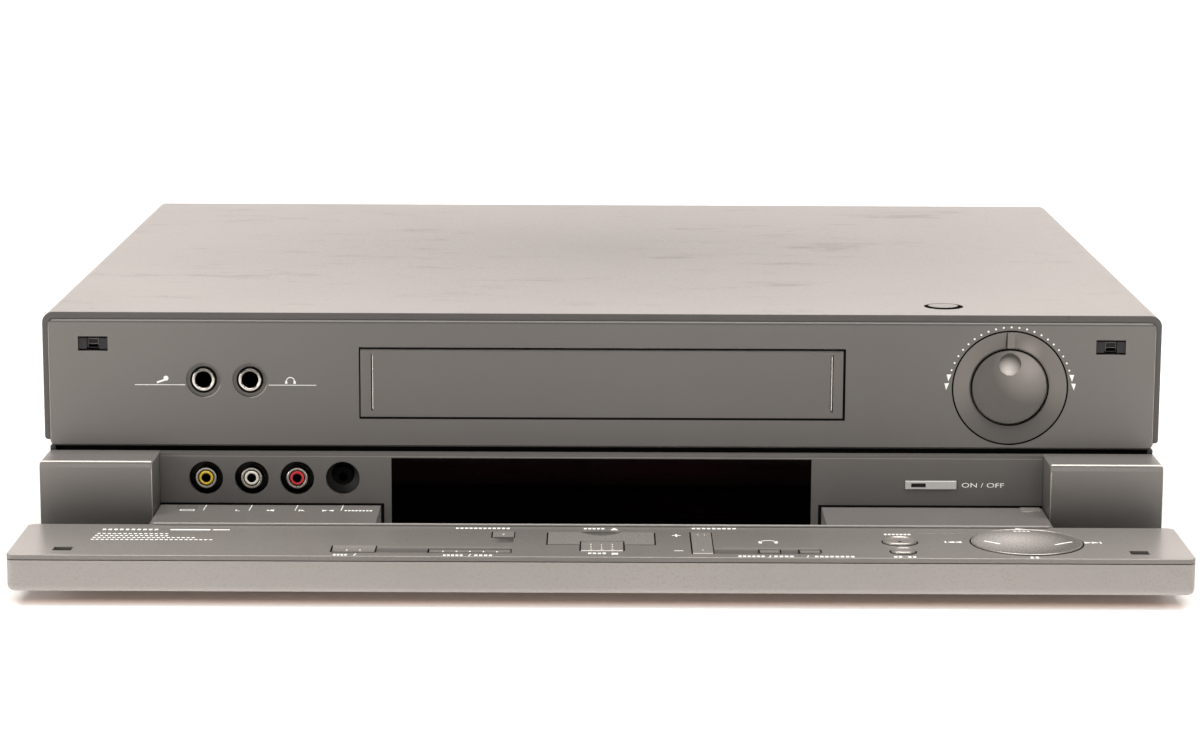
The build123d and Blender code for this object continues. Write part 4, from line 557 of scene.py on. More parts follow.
def arc_band(x, v, radius, width, start, end, count=16):
    """Curved stroke from one angle to another, in degrees."""
    angles = [radians(start + (end - start) * i / count) for i in range(count + 1)]
    outer = [(x + (radius + width / 2) * cos(a), v + (radius + width / 2) * sin(a)) for a in angles]
    inner = [(x + (radius - width / 2) * cos(a), v + (radius - width / 2) * sin(a)) for a in angles]
    return outer + inner[::-1]


def frame_lines(x0, x1, v0, v1, width):
    """A rectangular frame: its outer edge and its hole."""
    return [bar(x0 - width, x1 + width, v0 - width, v1 + width), bar(x0, x1, v0, v1)]


def ring_lines(x, v, inner, outer, count=96):
    """A flat ring: its outer edge and its hole."""
    return [disc(x, v, outer, count), disc(x, v, inner, count)]


def blocks(x0, x1, reach, count, height=2.0, fill=0.66):
    """A row of equal blocks between two places along X, at a reach in front of the panel."""
    step = (x1 - x0) / count
    starts = [x0 + i * step for i in range(count)]
    return [bar(x, x + fill * step, -reach - height / 2, -reach + height / 2) for x in starts]


def arrow(x, reach, size, way):
    """Arrowhead along X, to the right with way 1 and to the left with way -1."""
    tail = x - way * size / 2
    return [(tail, -reach - size / 2), (tail, -reach + size / 2), (x + way * size / 2, -reach)]


# %% From an outline to a piece
INK = 0.04
CAP_SHARE = 0.69
STANDING = (radians(90), 0, 0)
LYING = (0, 0, 0)
PANEL = solid("front_panel")
FACE = PANEL.front
FLAP_TOP = solid("control_plate").top
ON_PANEL = ("case", (0, FACE, 0), STANDING)
ON_FLAP = ("flap", (0, FACE, FLAP_TOP), LYING)


def alone(piece):
    """Selects one object and nothing else."""
    bpy.ops.object.select_all(action="DESELECT")
    piece.select_set(True)
    bpy.context.view_layer.objects.active = piece


def settle(piece, name, body, finish):
    """Applies the piece's place, names it, gives it its finish and its body."""
    alone(piece)
    bpy.ops.object.transform_apply(location=True, rotation=True, scale=True)
    piece.name = name
    piece.data.name = name
    piece.data.materials.clear()
    piece.data.materials.append(finish)
    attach(piece, body)
    return piece


def mesh_from(drawn, name, place, turn, body, finish):
    """Makes a flat curve or text a mesh, cleans it, and settles it in its place."""
    alone(drawn)
    bpy.ops.object.convert(target="MESH")
    piece = bpy.context.object
    bpy.ops.object.mode_set(mode="EDIT")
    bpy.ops.mesh.select_all(action="SELECT")
    bpy.ops.mesh.remove_doubles(threshold=0.000001)
    bpy.ops.mesh.normals_make_consistent(inside=False)
    bpy.ops.object.mode_set(mode="OBJECT")
    piece.location = Vector(place) * MM
    piece.rotation_euler = turn
    return settle(piece, name, body, finish)


def printed(name, outlines, body, place, turn, finish=white_print, slot="white_plastic", thick=INK):
    """One piece of ink from a list of outlines in millimetres."""
    flat = bpy.data.curves.new(name, "CURVE")
    flat.dimensions = "2D"
    flat.fill_mode = "BOTH"
    flat.extrude = thick / 2 * MM
    for outline in outlines:
        spline = flat.splines.new("POLY")
        spline.points.add(len(outline) - 1)
        for point, (u, v) in zip(spline.points, outline):
            point.co = (u * MM, v * MM, 0, 1)
        spline.use_cyclic_u = True
    drawn = bpy.data.objects.new(name, flat)
    bpy.context.scene.collection.objects.link(drawn)
    return mesh_from(drawn, name, place, turn, body, finish)


def added(add, **settings):
    """The object that one of Blender's add commands makes, with nothing else selected."""
    bpy.ops.object.select_all(action="DESELECT")
    add(**settings)
    return bpy.context.object


def lettered(name, words, height, body, place, turn, stretch):
    """Printed letters or figures, of a cap height in millimetres."""
    drawn = added(bpy.ops.object.text_add)
    drawn.data.body = words
    drawn.data.size = height / CAP_SHARE * MM
    drawn.data.extrude = INK / 2 * MM
    drawn.scale = (stretch, 1, 1)
    return mesh_from(drawn, name, place, turn, body, white_print)


print("panel face at", round(FACE, 2), "and top of the open flap at", round(FLAP_TOP, 2))

# %% [markdown]
# ## Dark seams
# Between two mouldings there is always a gap, and a gap is black because no light comes back
# out of it. The solids leave these gaps open. Here each one gets a matt black lining, drawn as
# a frame or ring with a hole in it, a hair proud of the surface.

# %% Seams of the upper panel


def seam(name, outlines, body, place, turn, thick=INK):
    """A matt black lining."""
    return printed(name, outlines, body, place, turn, seam_black, "black", thick)


OVERLAP = 0.10
JOG_SEAM_SINK = 0.40
SHUTTLE_RADIUS = solid("shuttle_ring").radius
DOOR_HALF = 95.0
door = solid("cassette_door")
seam("dial_seam", ring_lines(DIAL.x, DIAL.z, SHUTTLE_RADIUS - OVERLAP, SHUTTLE_RADIUS + 0.55), *ON_PANEL)
seam(
    "jog_seam", ring_lines(DIAL.x, DIAL.z, DIAL.radius - OVERLAP, DIAL.radius + 0.34),
    "case", (0, DIAL.front - JOG_SEAM_SINK, 0), STANDING, 0.5,
)
seam("door_seam", [
    bar(-DOOR_HALF - 0.5, DOOR_HALF + 1.0, door.bottom - 0.9, door.top + 0.5),
    bar(-DOOR_HALF, DOOR_HALF, door.bottom, door.top),
], *ON_PANEL)
release_ring = ring_lines(RELEASE.x, RELEASE.y, 7.10, 7.86)
seam("release_seam", release_ring, "case", (0, 0, HOOD.top - INK / 2), LYING)

# %% Seams of the bezel
BEZEL = solid("jack_panel")
ON_BEZEL = ("case", (0, BEZEL.front, 0), STANDING)
STRIP_HALF = 216.5
STRIP_SINK = 2.2
seam(
    "shadow_strip", [bar(-STRIP_HALF, STRIP_HALF, BEZEL.top - 1.0, PANEL.bottom + 0.8)],
    "case", (0, FACE + STRIP_SINK, 0), STANDING, 1.0,
)
# The slots that the flap's arms swing in.
SLOT_INNER = 85.7
SLOT_OUTER = 174.1
for name, x0, x1 in (("left_arm", -SLOT_OUTER, -SLOT_INNER), ("right_arm", SLOT_INNER, SLOT_OUTER)):
    arm = solid(name)
    seam(name + "_slot", [bar(x0, x1, arm.bottom + 2, arm.top + 0.5)], *ON_BEZEL)
window_top = solid("display_window").top
seam("window_seam", frame_lines(-82.5, 82.5, 12.3, window_top, 0.3), *ON_BEZEL)
print("seams done; recess face at", round(BEZEL.front, 2))

# %% Seams round the keys of the flap
# Left and right edge of each key, then its nearest and farthest reach in front of the panel.
KEY_AREAS = {
    "programme_rocker": (34.1, 41.65, 51.4, 85.8),
    "menu_key": (-100.0, -84.0, 75.3, 85.0),
    "index_key": (-63.8, -33.6, 80.0, 86.0),
    "dubbing_key": (-41.0, -33.0, 52.0, 61.0),
    "stereo_key": (59.0, 66.5, 79.0, 83.4),
    "select_key": (73.9, 81.6, 79.0, 83.4),
}
# The dark lining is drawn wide at the ends of a key and thin along its sides.
for name, (x0, x1, near, far) in KEY_AREAS.items():
    outer = bar(x0 - 0.60, x1 + 0.42, -far - 0.10, -near + 0.16)
    seam(name + "_seam", [outer, bar(x0, x1, -far, -near)], *ON_FLAP)
# The eject key wraps round the stop key, so their seam is drawn from bars that don't touch.
seam("eject_seam", [
    bar(-20.6, -20.0, -72.5, -52.5), bar(20.0, 20.6, -72.5, -52.5), bar(-19.9, 19.9, -52.4, -52.0),
    bar(-8.1, -7.5, -81.9, -67.4), bar(8.3, 8.9, -81.9, -67.4),
], *ON_FLAP)
ROUND_GAP = 0.55
ROUND_KEYS = {"record_button": 6.35, "speed_button": 4.6, "play_pad": 20.9}
for name, radius in ROUND_KEYS.items():
    key = solid(name)
    seam(name + "_seam", ring_lines(key.x, key.y - FACE, radius, radius + ROUND_GAP), *ON_FLAP)
print("key seams:", len(KEY_AREAS) + len(ROUND_KEYS) + 1)

# %% [markdown]
# ## The jog dial
# The jog dial is turned: a thin disc whose face is dished half a millimetre, on a round shaft.
# Its face is drawn inwards in rings, each a little deeper than the one before. A ball cuts the
# finger dimple near the rim, and an edge angle keeps the lip of the dimple crisp. The dimple gets
# a thin cup with a finish of its own, taken from a slightly smaller ball, to carry a painted highlight.

# %% Jog dial
JOG_DISH = 0.5
JOG_THICK = 2.4
JOG_RIM = 0.25
RING_STEP = 1.2
SMALLEST_RING = 2
SHAFT_RADIUS = 3.0
SHAFT_OVERLAP = 0.5
shaft_start = DIAL.front + JOG_THICK - SHAFT_OVERLAP
shaft = added(
    bpy.ops.mesh.primitive_cylinder_add, vertices=48, radius=SHAFT_RADIUS * MM, rotation=STANDING,
    location=Vector((DIAL.x, (shaft_start + DIAL.back) / 2, DIAL.z)) * MM,
    depth=(DIAL.back - shaft_start) * MM,
)
knob = added(
    bpy.ops.mesh.primitive_cylinder_add, vertices=128, radius=DIAL.radius * MM, rotation=STANDING,
    location=Vector((DIAL.x, DIAL.front + JOG_THICK / 2, DIAL.z)) * MM, depth=JOG_THICK * MM,
)
for polygon in knob.data.polygons:
    polygon.select = polygon.normal.z > 0.9
bpy.ops.object.mode_set(mode="EDIT")
bpy.ops.mesh.select_mode(type="FACE")
bpy.ops.mesh.inset(thickness=JOG_RIM * MM, depth=0)
radius = DIAL.radius - JOG_RIM
while radius > SMALLEST_RING:
    smaller = radius - RING_STEP
    deeper = JOG_DISH * (radius ** 2 - smaller ** 2) / DIAL.radius ** 2
    bpy.ops.mesh.inset(thickness=RING_STEP * MM, depth=-deeper * MM)
    radius = smaller
bpy.ops.object.mode_set(mode="OBJECT")
print("jog disc:", len(knob.data.polygons), "faces")

# %% Finger dimple


def cut_out(piece, tool):
    """Takes the form of a tool out of a piece, then removes the tool."""
    hole = piece.modifiers.new("hole", "BOOLEAN")
    hole.operation = "DIFFERENCE"
    hole.object = tool
    alone(piece)
    bpy.ops.object.modifier_apply(modifier="hole")
    bpy.data.objects.remove(tool)
    alone(piece)


def thicken(piece, thickness, side=-1):
    """Gives a thin sheet a thickness, to the inside with side -1 and to the outside with side 1."""
    wall = piece.modifiers.new("wall", "SOLIDIFY")
    wall.thickness = thickness * MM
    wall.offset = side
    bpy.ops.object.modifier_apply(modifier="wall")


DIMPLE_RADIUS = 4.4
DIMPLE_DEPTH = 1.5
DIMPLE_RISE = 9.1
CUP_GAP = 0.02
CUP_THICK = 0.05
ball_radius = (DIMPLE_RADIUS ** 2 + DIMPLE_DEPTH ** 2) / (2 * DIMPLE_DEPTH)
ball_y = DIAL.front + JOG_DISH / 2 + DIMPLE_DEPTH - ball_radius
ball_place = Vector((DIAL.x, ball_y, DIAL.z + DIMPLE_RISE)) * MM
ball = added(
    bpy.ops.mesh.primitive_uv_sphere_add, segments=96, ring_count=64, radius=ball_radius * MM,
    location=ball_place,
)
cut_out(knob, ball)
shaft.select_set(True)
bpy.ops.object.join()
bpy.ops.object.shade_smooth_by_angle(angle=radians(24))
settle(knob, "jog_knob", "jog_dial", jog_paint_and_sheen)
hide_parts("jog_dial")

cup = added(
    bpy.ops.mesh.primitive_uv_sphere_add, segments=64, ring_count=48,
    radius=(ball_radius - CUP_GAP) * MM, location=ball_place,
)
bpy.ops.object.transform_apply(location=True, rotation=True, scale=True)
bpy.ops.object.mode_set(mode="EDIT")
bpy.ops.mesh.select_all(action="SELECT")
cut_y = (DIAL.front + JOG_DISH * 0.45) * MM
bpy.ops.mesh.bisect(plane_co=(0, cut_y, 0), plane_no=(0, 1, 0), clear_inner=True)
bpy.ops.object.mode_set(mode="OBJECT")
thicken(cup, CUP_THICK)
bpy.ops.object.shade_smooth_by_angle(angle=radians(40))
settle(cup, "jog_dimple", "jog_dial", dimple_paint_and_highlight)
print("jog dial:", len(knob.data.polygons), "faces, dimple:", len(cup.data.polygons))

# %% Shade beside the pointer
# The pointer bar of the shuttle ring stands proud, so its left side is dark.
POINTER_SIDE = DIAL.x - 1.45
POINTER_SHADE = 0.32
pointer_shade = bar(
    POINTER_SIDE - POINTER_SHADE, POINTER_SIDE,
    DIAL.z + DIAL.radius + 0.5, DIAL.z + SHUTTLE_RADIUS - 0.5,
)
seam("pointer_shade", [pointer_shade], "shuttle_ring", (0, FACE, 0), STANDING)
print("pointer shade from", round(pointer_shade[0][1], 1), "to", round(pointer_shade[2][1], 1))

# %% [markdown]
# ## Marks on the upper panel
# Round the dial runs a fan of 21 dots, closed at each end by two small arrowheads. The phone
# sockets have a line each, with a microphone and a pair of headphones drawn over it.

# %% Dial scale
DOT_COUNT = 21
DOT_FAN = radians(73)
DOT_CIRCLE = 24.2
DOT_RADIUS = 0.38
marks = []
for i in range(DOT_COUNT):
    angle = -DOT_FAN + 2 * DOT_FAN * i / (DOT_COUNT - 1)
    x = DIAL.x + DOT_CIRCLE * sin(angle)
    marks.append(disc(x, DIAL.z + DOT_CIRCLE * cos(angle), DOT_RADIUS, 12))
for side in (-1, 1):
    for across, rise in ((24.0, 4.1), (24.8, 0.6)):
        x = DIAL.x + side * across
        v = DIAL.z + rise
        marks.append([(x - side * 0.8, v + 1.3), (x + side * 1.1, v + 1.2), (x + side * 0.35, v - 1.5)])
printed("dial_scale", marks, *ON_PANEL)
print("dial scale:", DOT_COUNT, "dots round", round(DIAL.x, 1), round(DIAL.z, 1))

# %% Phone socket marks
LINE_Z = HOOD.top - 28.7
LINE_HALF = 0.12
LINES = ((-183.9, -164.0), (-131.2, -112.4))
marks = [bar(x0, x1, LINE_Z - LINE_HALF, LINE_Z + LINE_HALF) for x0, x1 in LINES]
# Microphone: a round head on a slanted handle.
marks.append(disc(-171.6, LINE_Z + 2.6, 1.0, 16))
marks.append(stroke(-172.3, LINE_Z + 1.9, -175.2, LINE_Z + 0.9, 0.7))
# Headphones: a bow with two cushions.
marks.append(arc_band(-122.6, LINE_Z + 1.5, 1.6, 0.35, 0, 180))
marks += [bar(x, x + 0.9, LINE_Z + 0.55, LINE_Z + 1.75) for x in (-124.7, -121.4)]
printed("phone_marks", marks, *ON_PANEL)
print("phone marks:", len(marks), "outlines")

# %% [markdown]
# ## Phone sockets
# Each socket is black inside, with a bright rim that stands proud of the panel and a dark seat
# round it. The rim could be a torus, but it is a short sleeve: two circles bridged, pulled out
# and softened at the edges. A thin curved glint marks the edge of the dished panel round it.

# %% Tube helper


def rounded(piece, width, segments, angle=30):
    """Rounds the edges of a piece that are sharper than an angle."""
    rounding = piece.modifiers.new("rounding", "BEVEL")
    rounding.width = width * MM
    rounding.segments = segments
    rounding.limit_method = "ANGLE"
    rounding.angle_limit = radians(angle)
    bpy.ops.object.modifier_apply(modifier="rounding")


def tube(name, place, depth, outer, inner, finish, soften=0.0, count=48):
    """A round sleeve on the case, from a place in mm to the back: two circles bridged."""
    piece = added(bpy.ops.mesh.primitive_circle_add, vertices=count, radius=outer * MM, fill_type="NOTHING")
    bpy.ops.object.mode_set(mode="EDIT")
    bpy.ops.mesh.select_all(action="SELECT")
    bpy.ops.mesh.duplicate()
    bpy.ops.transform.resize(value=(inner / outer, inner / outer, 1))
    bpy.ops.mesh.select_all(action="SELECT")
    bpy.ops.mesh.bridge_edge_loops()
    bpy.ops.mesh.select_all(action="SELECT")
    bpy.ops.mesh.extrude_region_move(TRANSFORM_OT_translate={"value": (0, 0, depth * MM)})
    bpy.ops.mesh.select_all(action="SELECT")
    bpy.ops.mesh.normals_make_consistent(inside=False)
    bpy.ops.object.mode_set(mode="OBJECT")
    if soften:
        rounded(piece, soften, 3, 50)
    bpy.ops.object.shade_smooth_by_angle(angle=radians(35))
    # Local Z runs to the back, along +Y.
    piece.rotation_euler = (radians(-90), 0, 0)
    piece.location = Vector(place) * MM
    return settle(piece, name, "case", finish)


# %% Phone sockets
RIM_PROUD = 0.55
SEAT_PROUD = 0.10
RIM_END = 1.2
PHONE_Z = solid("microphone_jack").z
bush_metal_and_shade = moulded("bush_metal_and_shade", (0.50, 0.47, 0.43), (0.58, 0.55, 0.51), 0.18, metallic=1.0, grain=2000)
# Painted shade: the nickel rims are darker towards their top and lighter towards their bottom.
shaded_along(bush_metal_and_shade, "Z", PHONE_Z + 3.5, PHONE_Z - 2.5, 0.35, 1.25)
for name in ("microphone_jack", "headphone_jack"):
    jack = solid(name)
    rim_place = (jack.x, jack.front - RIM_PROUD, PHONE_Z)
    tube(name + "_rim", rim_place, RIM_PROUD + RIM_END, 4.55, 3.26, bush_metal_and_shade, 0.45, 96)
    seat_place = (jack.x, jack.front - SEAT_PROUD, PHONE_Z)
    tube(name + "_seat", seat_place, SEAT_PROUD + RIM_END, 5.25, 4.50, seam_black, count=96)
    glint = arc_band(jack.x, PHONE_Z, 6.95, 0.14, 272, 345, 32)
    printed(name + "_glint", [glint], *ON_PANEL, glint_paint, "panel")
    print(name, "at", round(jack.x, 2), round(PHONE_Z, 2))

# %% [markdown]
# ## Phono sockets
# A phono socket is a nickel shell round a coloured insulator: yellow for video, white and
# red for the left and the right channel. Both are turned sleeves with soft edges, and a dark one
# lines the bore. The fourth socket is a plain dark well, drawn as a flat ring with painted light on
# its lower right and painted shade over its top.

# %% Phono sockets
PHONO_PROUD = 0.05
insulators = {
    "video_jack": moulded("yellow_insulator", (0.72, 0.50, 0.03), (0.80, 0.57, 0.05), 0.3),
    "left_audio_jack": moulded("white_insulator", (0.72, 0.70, 0.62), (0.80, 0.78, 0.70), 0.3),
    "right_audio_jack": moulded("red_insulator", (0.50, 0.02, 0.03), (0.60, 0.03, 0.04), 0.3),
}
JACK_Z = solid("video_jack").z
for name, finish in insulators.items():
    jack = solid(name)
    outside = (jack.x, jack.front - PHONO_PROUD, JACK_Z)
    tube(name + "_shell", outside, PHONO_PROUD + 8.5, 4.2, 3.15, nickel, 0.25)
    tube(name + "_insulator", outside, PHONO_PROUD + 1.2, 2.80, 1.71, finish, 0.30)
    tube(name + "_throat", (jack.x, jack.front + 0.5, JACK_Z), 6.5, 1.85, 1.70, seam_black)
print("phono sockets at height", round(JACK_Z, 2))

# %% Well of the editing socket
EDIT = solid("edit_socket")
WELL_RADIUS = 6.6
BORE_RADIUS = 4.6
BORE_RISE = 1.5
well_light_and_shade = moulded("well_light_and_shade", (0.042, 0.040, 0.038), (0.048, 0.046, 0.044), 0.5, shine=0.2)
# Painted light on the lower right of the well, and painted shade over its top.
spotted(well_light_and_shade, (EDIT.x + 5.8, EDIT.front, JACK_Z - 2.6), 1.0, 6.2, 1.0, 0.16)
shaded_along(well_light_and_shade, "Z", JACK_Z + 5.0, JACK_Z + 0.5, 0.05, 1.0)
well = [disc(EDIT.x, JACK_Z, WELL_RADIUS, 64), disc(EDIT.x, JACK_Z + BORE_RISE, BORE_RADIUS, 64)]
printed("edit_socket_well_light", well, "case", (0, EDIT.front, 0), STANDING, well_light_and_shade, "panel")
print("well round", round(EDIT.x, 2))

# %% [markdown]
# ## Standby key
# The long pale key has a dark lamp window at its left and its lettering beside it. The window is
# a thin bar that rides on the key, and the letters are text made a mesh.

# %% Standby key
LAMP_HALF = 0.75
STANDBY = solid("standby_button")
lamp_window = bar(122.2, 127.9, STANDBY.z - LAMP_HALF, STANDBY.z + LAMP_HALF)
key_front = (0, STANDBY.front, 0)
printed("standby_lamp", [lamp_window], "standby_button", key_front, STANDING, black_plastic, "black", 0.1)
letters_place = (142.0, BEZEL.front, STANDBY.z - 0.95)
lettered("standby_letters", "ON / OFF", 1.8, "case", letters_place, STANDING, 1.55)
print("standby key at height", round(STANDBY.z, 2))

# %% [markdown]
# ## Marks on the arms of the flap
# A slanted tick points from each socket to its name. The names are replaced by drawn symbols and
# by the two channel letters.

# %% Arm marks
JACKS = ("video_jack", "left_audio_jack", "right_audio_jack", "edit_socket")
VIDEO_X, LEFT_X, RIGHT_X, EDIT_X = [solid(name).x for name in JACKS]
marks = [stroke(x + 0.3, -7.0, x + 0.1, -16.4, 0.26) for x in (VIDEO_X, LEFT_X, RIGHT_X, EDIT_X)]
# Screen outline for the video input.
x = VIDEO_X - 6.2
marks += frame_lines(x - 2.4, x + 2.4, -17.0, -15.2, 0.4)
# Loudspeaker between the channel letters: a box and a cone.
x = (LEFT_X + RIGHT_X) / 2
marks.append(bar(x - 2.0, x - 1.0, -16.8, -15.4))
marks.append([(x - 0.8, -16.6), (x + 0.8, -17.6), (x + 0.8, -14.6), (x - 0.8, -15.6)])
# Two arrowheads that meet, and a row of frames, for the editing input.
x = EDIT_X - 5.0
marks += [[(x + way * 2.2, -17.4), (x + way * 2.2, -14.8), (x + way * 0.2, -16.1)] for way in (-1, 1)]
marks += blocks(EDIT_X + 1.5, EDIT_X + 12.8, 16.1, 8, 1.6)
printed("arm_marks", marks, *ON_FLAP)
LETTER_REACH = 17.3
for name, letter, x in (("left_letter", "L", LEFT_X - 5.6), ("right_letter", "R", RIGHT_X + 1.2)):
    lettered(name, letter, 2.4, "flap", (x, FACE - LETTER_REACH, FLAP_TOP), LYING, 1.3)
# A painted shade stands for a shallow recess on the left arm, and a low pad sits on the right one.
printed("left_arm_recess_shade", [bar(-167.0, -158.5, -13.4, -8.0)], *ON_FLAP, shade_and_highlight_grey, "flap")
pad_place = (0, FACE, FLAP_TOP + 0.1)
printed("right_arm_pad", [bar(165.0, 172.7, -14.0, -7.0)], "flap", pad_place, LYING, key_paint, "flap", 0.4)
print("arm marks:", len(marks), "outlines")

# %% [markdown]
# ## Marks on the control plate
# The plate carries the signs of the transport: play, pause, rewind, wind, stop, eject and
# record. They are drawn from bars and triangles, the oldest signs on any tape machine.
# Each word beside a key becomes a row of small blocks, as long as the word.

# %% Signs on the control plate
WIND_REACH = 65.5
WIND_SIZE = 2.7
# Play above the pad and pause below it, then rewind on its left and wind on its right.
marks = [arrow(160.5, 42.2, 3.6, 1)]
marks += [bar(158.6, 159.6, -91.0, -88.4), bar(160.6, 161.6, -91.0, -88.4)]
for way, heads, stop in ((-1, (131.6, 134.3), 129.4), (1, (183.4, 186.1), 187.8)):
    marks += [arrow(x, WIND_REACH, WIND_SIZE, way) for x in heads]
    marks.append(bar(stop, stop + 0.5, -66.9, -64.1))
# Eject: a triangle over a bar. Stop: a square.
marks += [[(3.7, -46.8), (6.3, -46.8), (5.0, -44.4)], bar(3.7, 6.3, -47.8, -47.2)]
marks.append(bar(3.9, 6.3, -87.4, -85.0))
# Programme up and down.
marks += [bar(26.9, 30.1, -56.7, -56.1), bar(28.2, 28.8, -58.4, -56.8), bar(28.2, 28.8, -56.0, -54.4)]
marks.append(bar(27.2, 30.6, -81.4, -80.8))
# Headphone bow between the stereo and select keys, with its two ends marked.
marks.append(arc_band(62.8, -67.0, 3.0, 0.55, 15, 165))
marks += [bar(x, x + 1.2, -68.6, -65.4) for x in (59.2, 65.2)]
printed("control_marks", marks, *ON_FLAP)
print("signs on the plate:", len(marks), "outlines")

# %% Rows of blocks beside the keys
# Start and end of each word along X, its reach in front of the panel, and its letters.
KEY_WORDS = (
    (-98.9, -93.4, 89.6, 4), (-58.4, -50.6, 89.6, 5), (-46.8, -39.6, 89.6, 4), (-55.6, -34.4, 45.6, 12),
    (-6.6, 1.8, 45.6, 5), (-4.8, 2.4, 85.8, 4), (34.7, 52.2, 44.6, 9), (50.8, 61.0, 89.4, 6),
    (64.0, 71.8, 89.4, 4), (79.0, 94.2, 89.4, 8), (107.6, 118.0, 53.2, 7), (108.2, 111.8, 89.6, 2),
    (113.4, 117.0, 89.6, 2),
)
SLASH_XS = (-91.0, -48.5, 62.5, 76.4)
SLASH_REACH = 89.4
SLASH_HALF = 1.6
marks = []
for word in KEY_WORDS:
    marks += blocks(*word)
for x in SLASH_XS:
    marks.append(stroke(x + 0.35, SLASH_HALF - SLASH_REACH, x - 0.35, -SLASH_REACH - SLASH_HALF, 0.4))
printed("key_marks", marks, *ON_FLAP)
FEATURE_LINES = (
    (-191.0, -163.4, 56.8, 14), (-191.4, -163.0, 60.0, 15),
    (-191.8, -152.6, 63.2, 21), (-192.0, -145.6, 66.4, 25),
)
feature_rows = blocks(-190.0, -168.0, 49.9, 10, 2.2, 0.6)
feature_rows += [bar(-164.2, -149.0, -50.8, -49.0), bar(-148.0, -141.6, -50.5, -49.3)]
for line in FEATURE_LINES:
    feature_rows += blocks(*line, 1.2, 0.62)
printed("feature_rows", feature_rows, *ON_FLAP)
print("blocks:", len(marks), "beside the keys and", len(feature_rows), "at the left")

# %% [markdown]
# ## Raised dots on the keys
# The keys are found by touch: rows of small domes. One dome is modelled, and each copy has its
# own mesh, so that a dot moves with its own key.

# %% Key dots
DOME_FLATTEN = 0.6
BIG_DOT = 0.62


def dome(x, reach, top, radius):
    """A low dome on a key: the upper part of a small ball."""
    piece = added(bpy.ops.mesh.primitive_uv_sphere_add, segments=16, ring_count=8, radius=radius * MM)
    bpy.ops.object.mode_set(mode="EDIT")
    bpy.ops.mesh.select_all(action="SELECT")
    bpy.ops.mesh.bisect(plane_co=(0, 0, 0), plane_no=(0, 0, 1), clear_inner=True, use_fill=True)
    bpy.ops.object.mode_set(mode="OBJECT")
    bpy.ops.object.shade_smooth_by_angle(angle=radians(50))
    piece.scale = (1, 1, DOME_FLATTEN)
    piece.location = (x * MM, (FACE - reach) * MM, top * MM)
    bpy.ops.object.transform_apply(location=True, rotation=True, scale=True)
    return piece


def twin(piece):
    """A copy of a piece with its own mesh."""
    copy = piece.copy()
    copy.data = piece.data.copy()
    bpy.context.scene.collection.objects.link(copy)
    return copy


def dots(name, places, key, sink=0.0, radius=0.42):
    """Joins copies of one dome into a piece that rides on its key, sunk a little into its top."""
    first_x, first_reach = places[0]
    first = dome(first_x, first_reach, solid(key).top - 0.02 - sink, radius)
    copies = [first]
    for x, reach in places[1:]:
        copy = twin(first)
        copy.location = ((x - first_x) * MM, (first_reach - reach) * MM, 0)
        copies.append(copy)
    alone(first)
    for copy in copies:
        copy.select_set(True)
    if len(copies) > 1:
        bpy.ops.object.join()
    # Each dot takes the bright glint finish, a painted highlight on its dome.
    settle(first, name, key, glint_paint)


dots("menu_dots", [(-94.7, 80.4), (-89.7, 80.4)], "menu_key", BIG_DOT, BIG_DOT)
dots("index_dots", [(-58.7 + 5 * i, 82.2) for i in range(5)], "index_key", BIG_DOT, BIG_DOT)
dots("dubbing_dot", [(-37.0, 56.5)], "dubbing_key", radius=0.6)
stop_places = [(-3.8 + 4 * column, reach) for column in range(3) for reach in (72.4, 76.2, 80.0)]
dots("stop_dots", stop_places, "stop_button", 0.05, 0.5)
dots("programme_dots", [(36.6, 56.0), (39.2, 56.0), (37.9, 81.0)], "programme_rocker")
print("key dots done")

# %% [markdown]
# ## Bright rims of the round keys
# The round keys and the play pad have a raised rim that catches the light, and its bright finish
# is a painted highlight. Each rim is a ring of small section, and it rides on its own key. The
# record key has a dark point in its middle.

# %% Rims


def rim(name, node, radius, section, lift):
    """A ring on top of a round key."""
    key = solid(node)
    piece = added(
        bpy.ops.mesh.primitive_torus_add, location=Vector((key.x, key.y, FLAP_TOP + lift)) * MM,
        major_radius=radius * MM, minor_radius=section * MM, major_segments=96, minor_segments=12,
    )
    bpy.ops.object.shade_smooth_by_angle(angle=radians(60))
    settle(piece, name, node, glint_paint)


rim("pad_rim", "play_pad", 20.35, 0.30, 0.22)
rim("record_rim", "record_button", 5.75, 0.42, 0.62)
rim("speed_rim", "speed_button", 4.05, 0.40, 0.62)
record = solid("record_button")
record_top = (record.x, record.y, FLAP_TOP + 0.28)
printed("record_centre", [disc(0, 0, 0.7, 16)], "record_button", record_top, LYING, seam_black, "black")
print("rims done")

# %% [markdown]
# ## Painted highlights on the edges
# Where two faces of a moulding meet, the edge catches the light. Thin strips of a bright finish,
# painted highlights, follow the edges of the panel, the bezel and the end blocks. The end blocks
# have a chamfer along the top, and its strip lies at the slant of the chamfer.

# %% Edges of the panel and the bezel
EDGE_INSET = 0.35
EDGE_CORNER = 3.0
edge_x = PANEL.right - EDGE_INSET
strips = [bar(x - 0.10, x + 0.10, PANEL.bottom + 3.5, PANEL.top - EDGE_CORNER) for x in (-edge_x, edge_x)]
strips.append(bar(EDGE_CORNER - edge_x, edge_x - EDGE_CORNER, PANEL.top - 0.30, PANEL.top - 0.18))
printed("panel_edges", strips, *ON_PANEL, edge_sheen_paint, "panel")
bezel_line = bar(-173.5, 173.5, BEZEL.top - 1.30, BEZEL.top - 1.14)
printed("bezel_edge", [bezel_line], *ON_BEZEL, edge_sheen_paint, "panel")
print("panel edges at", round(edge_x, 2))

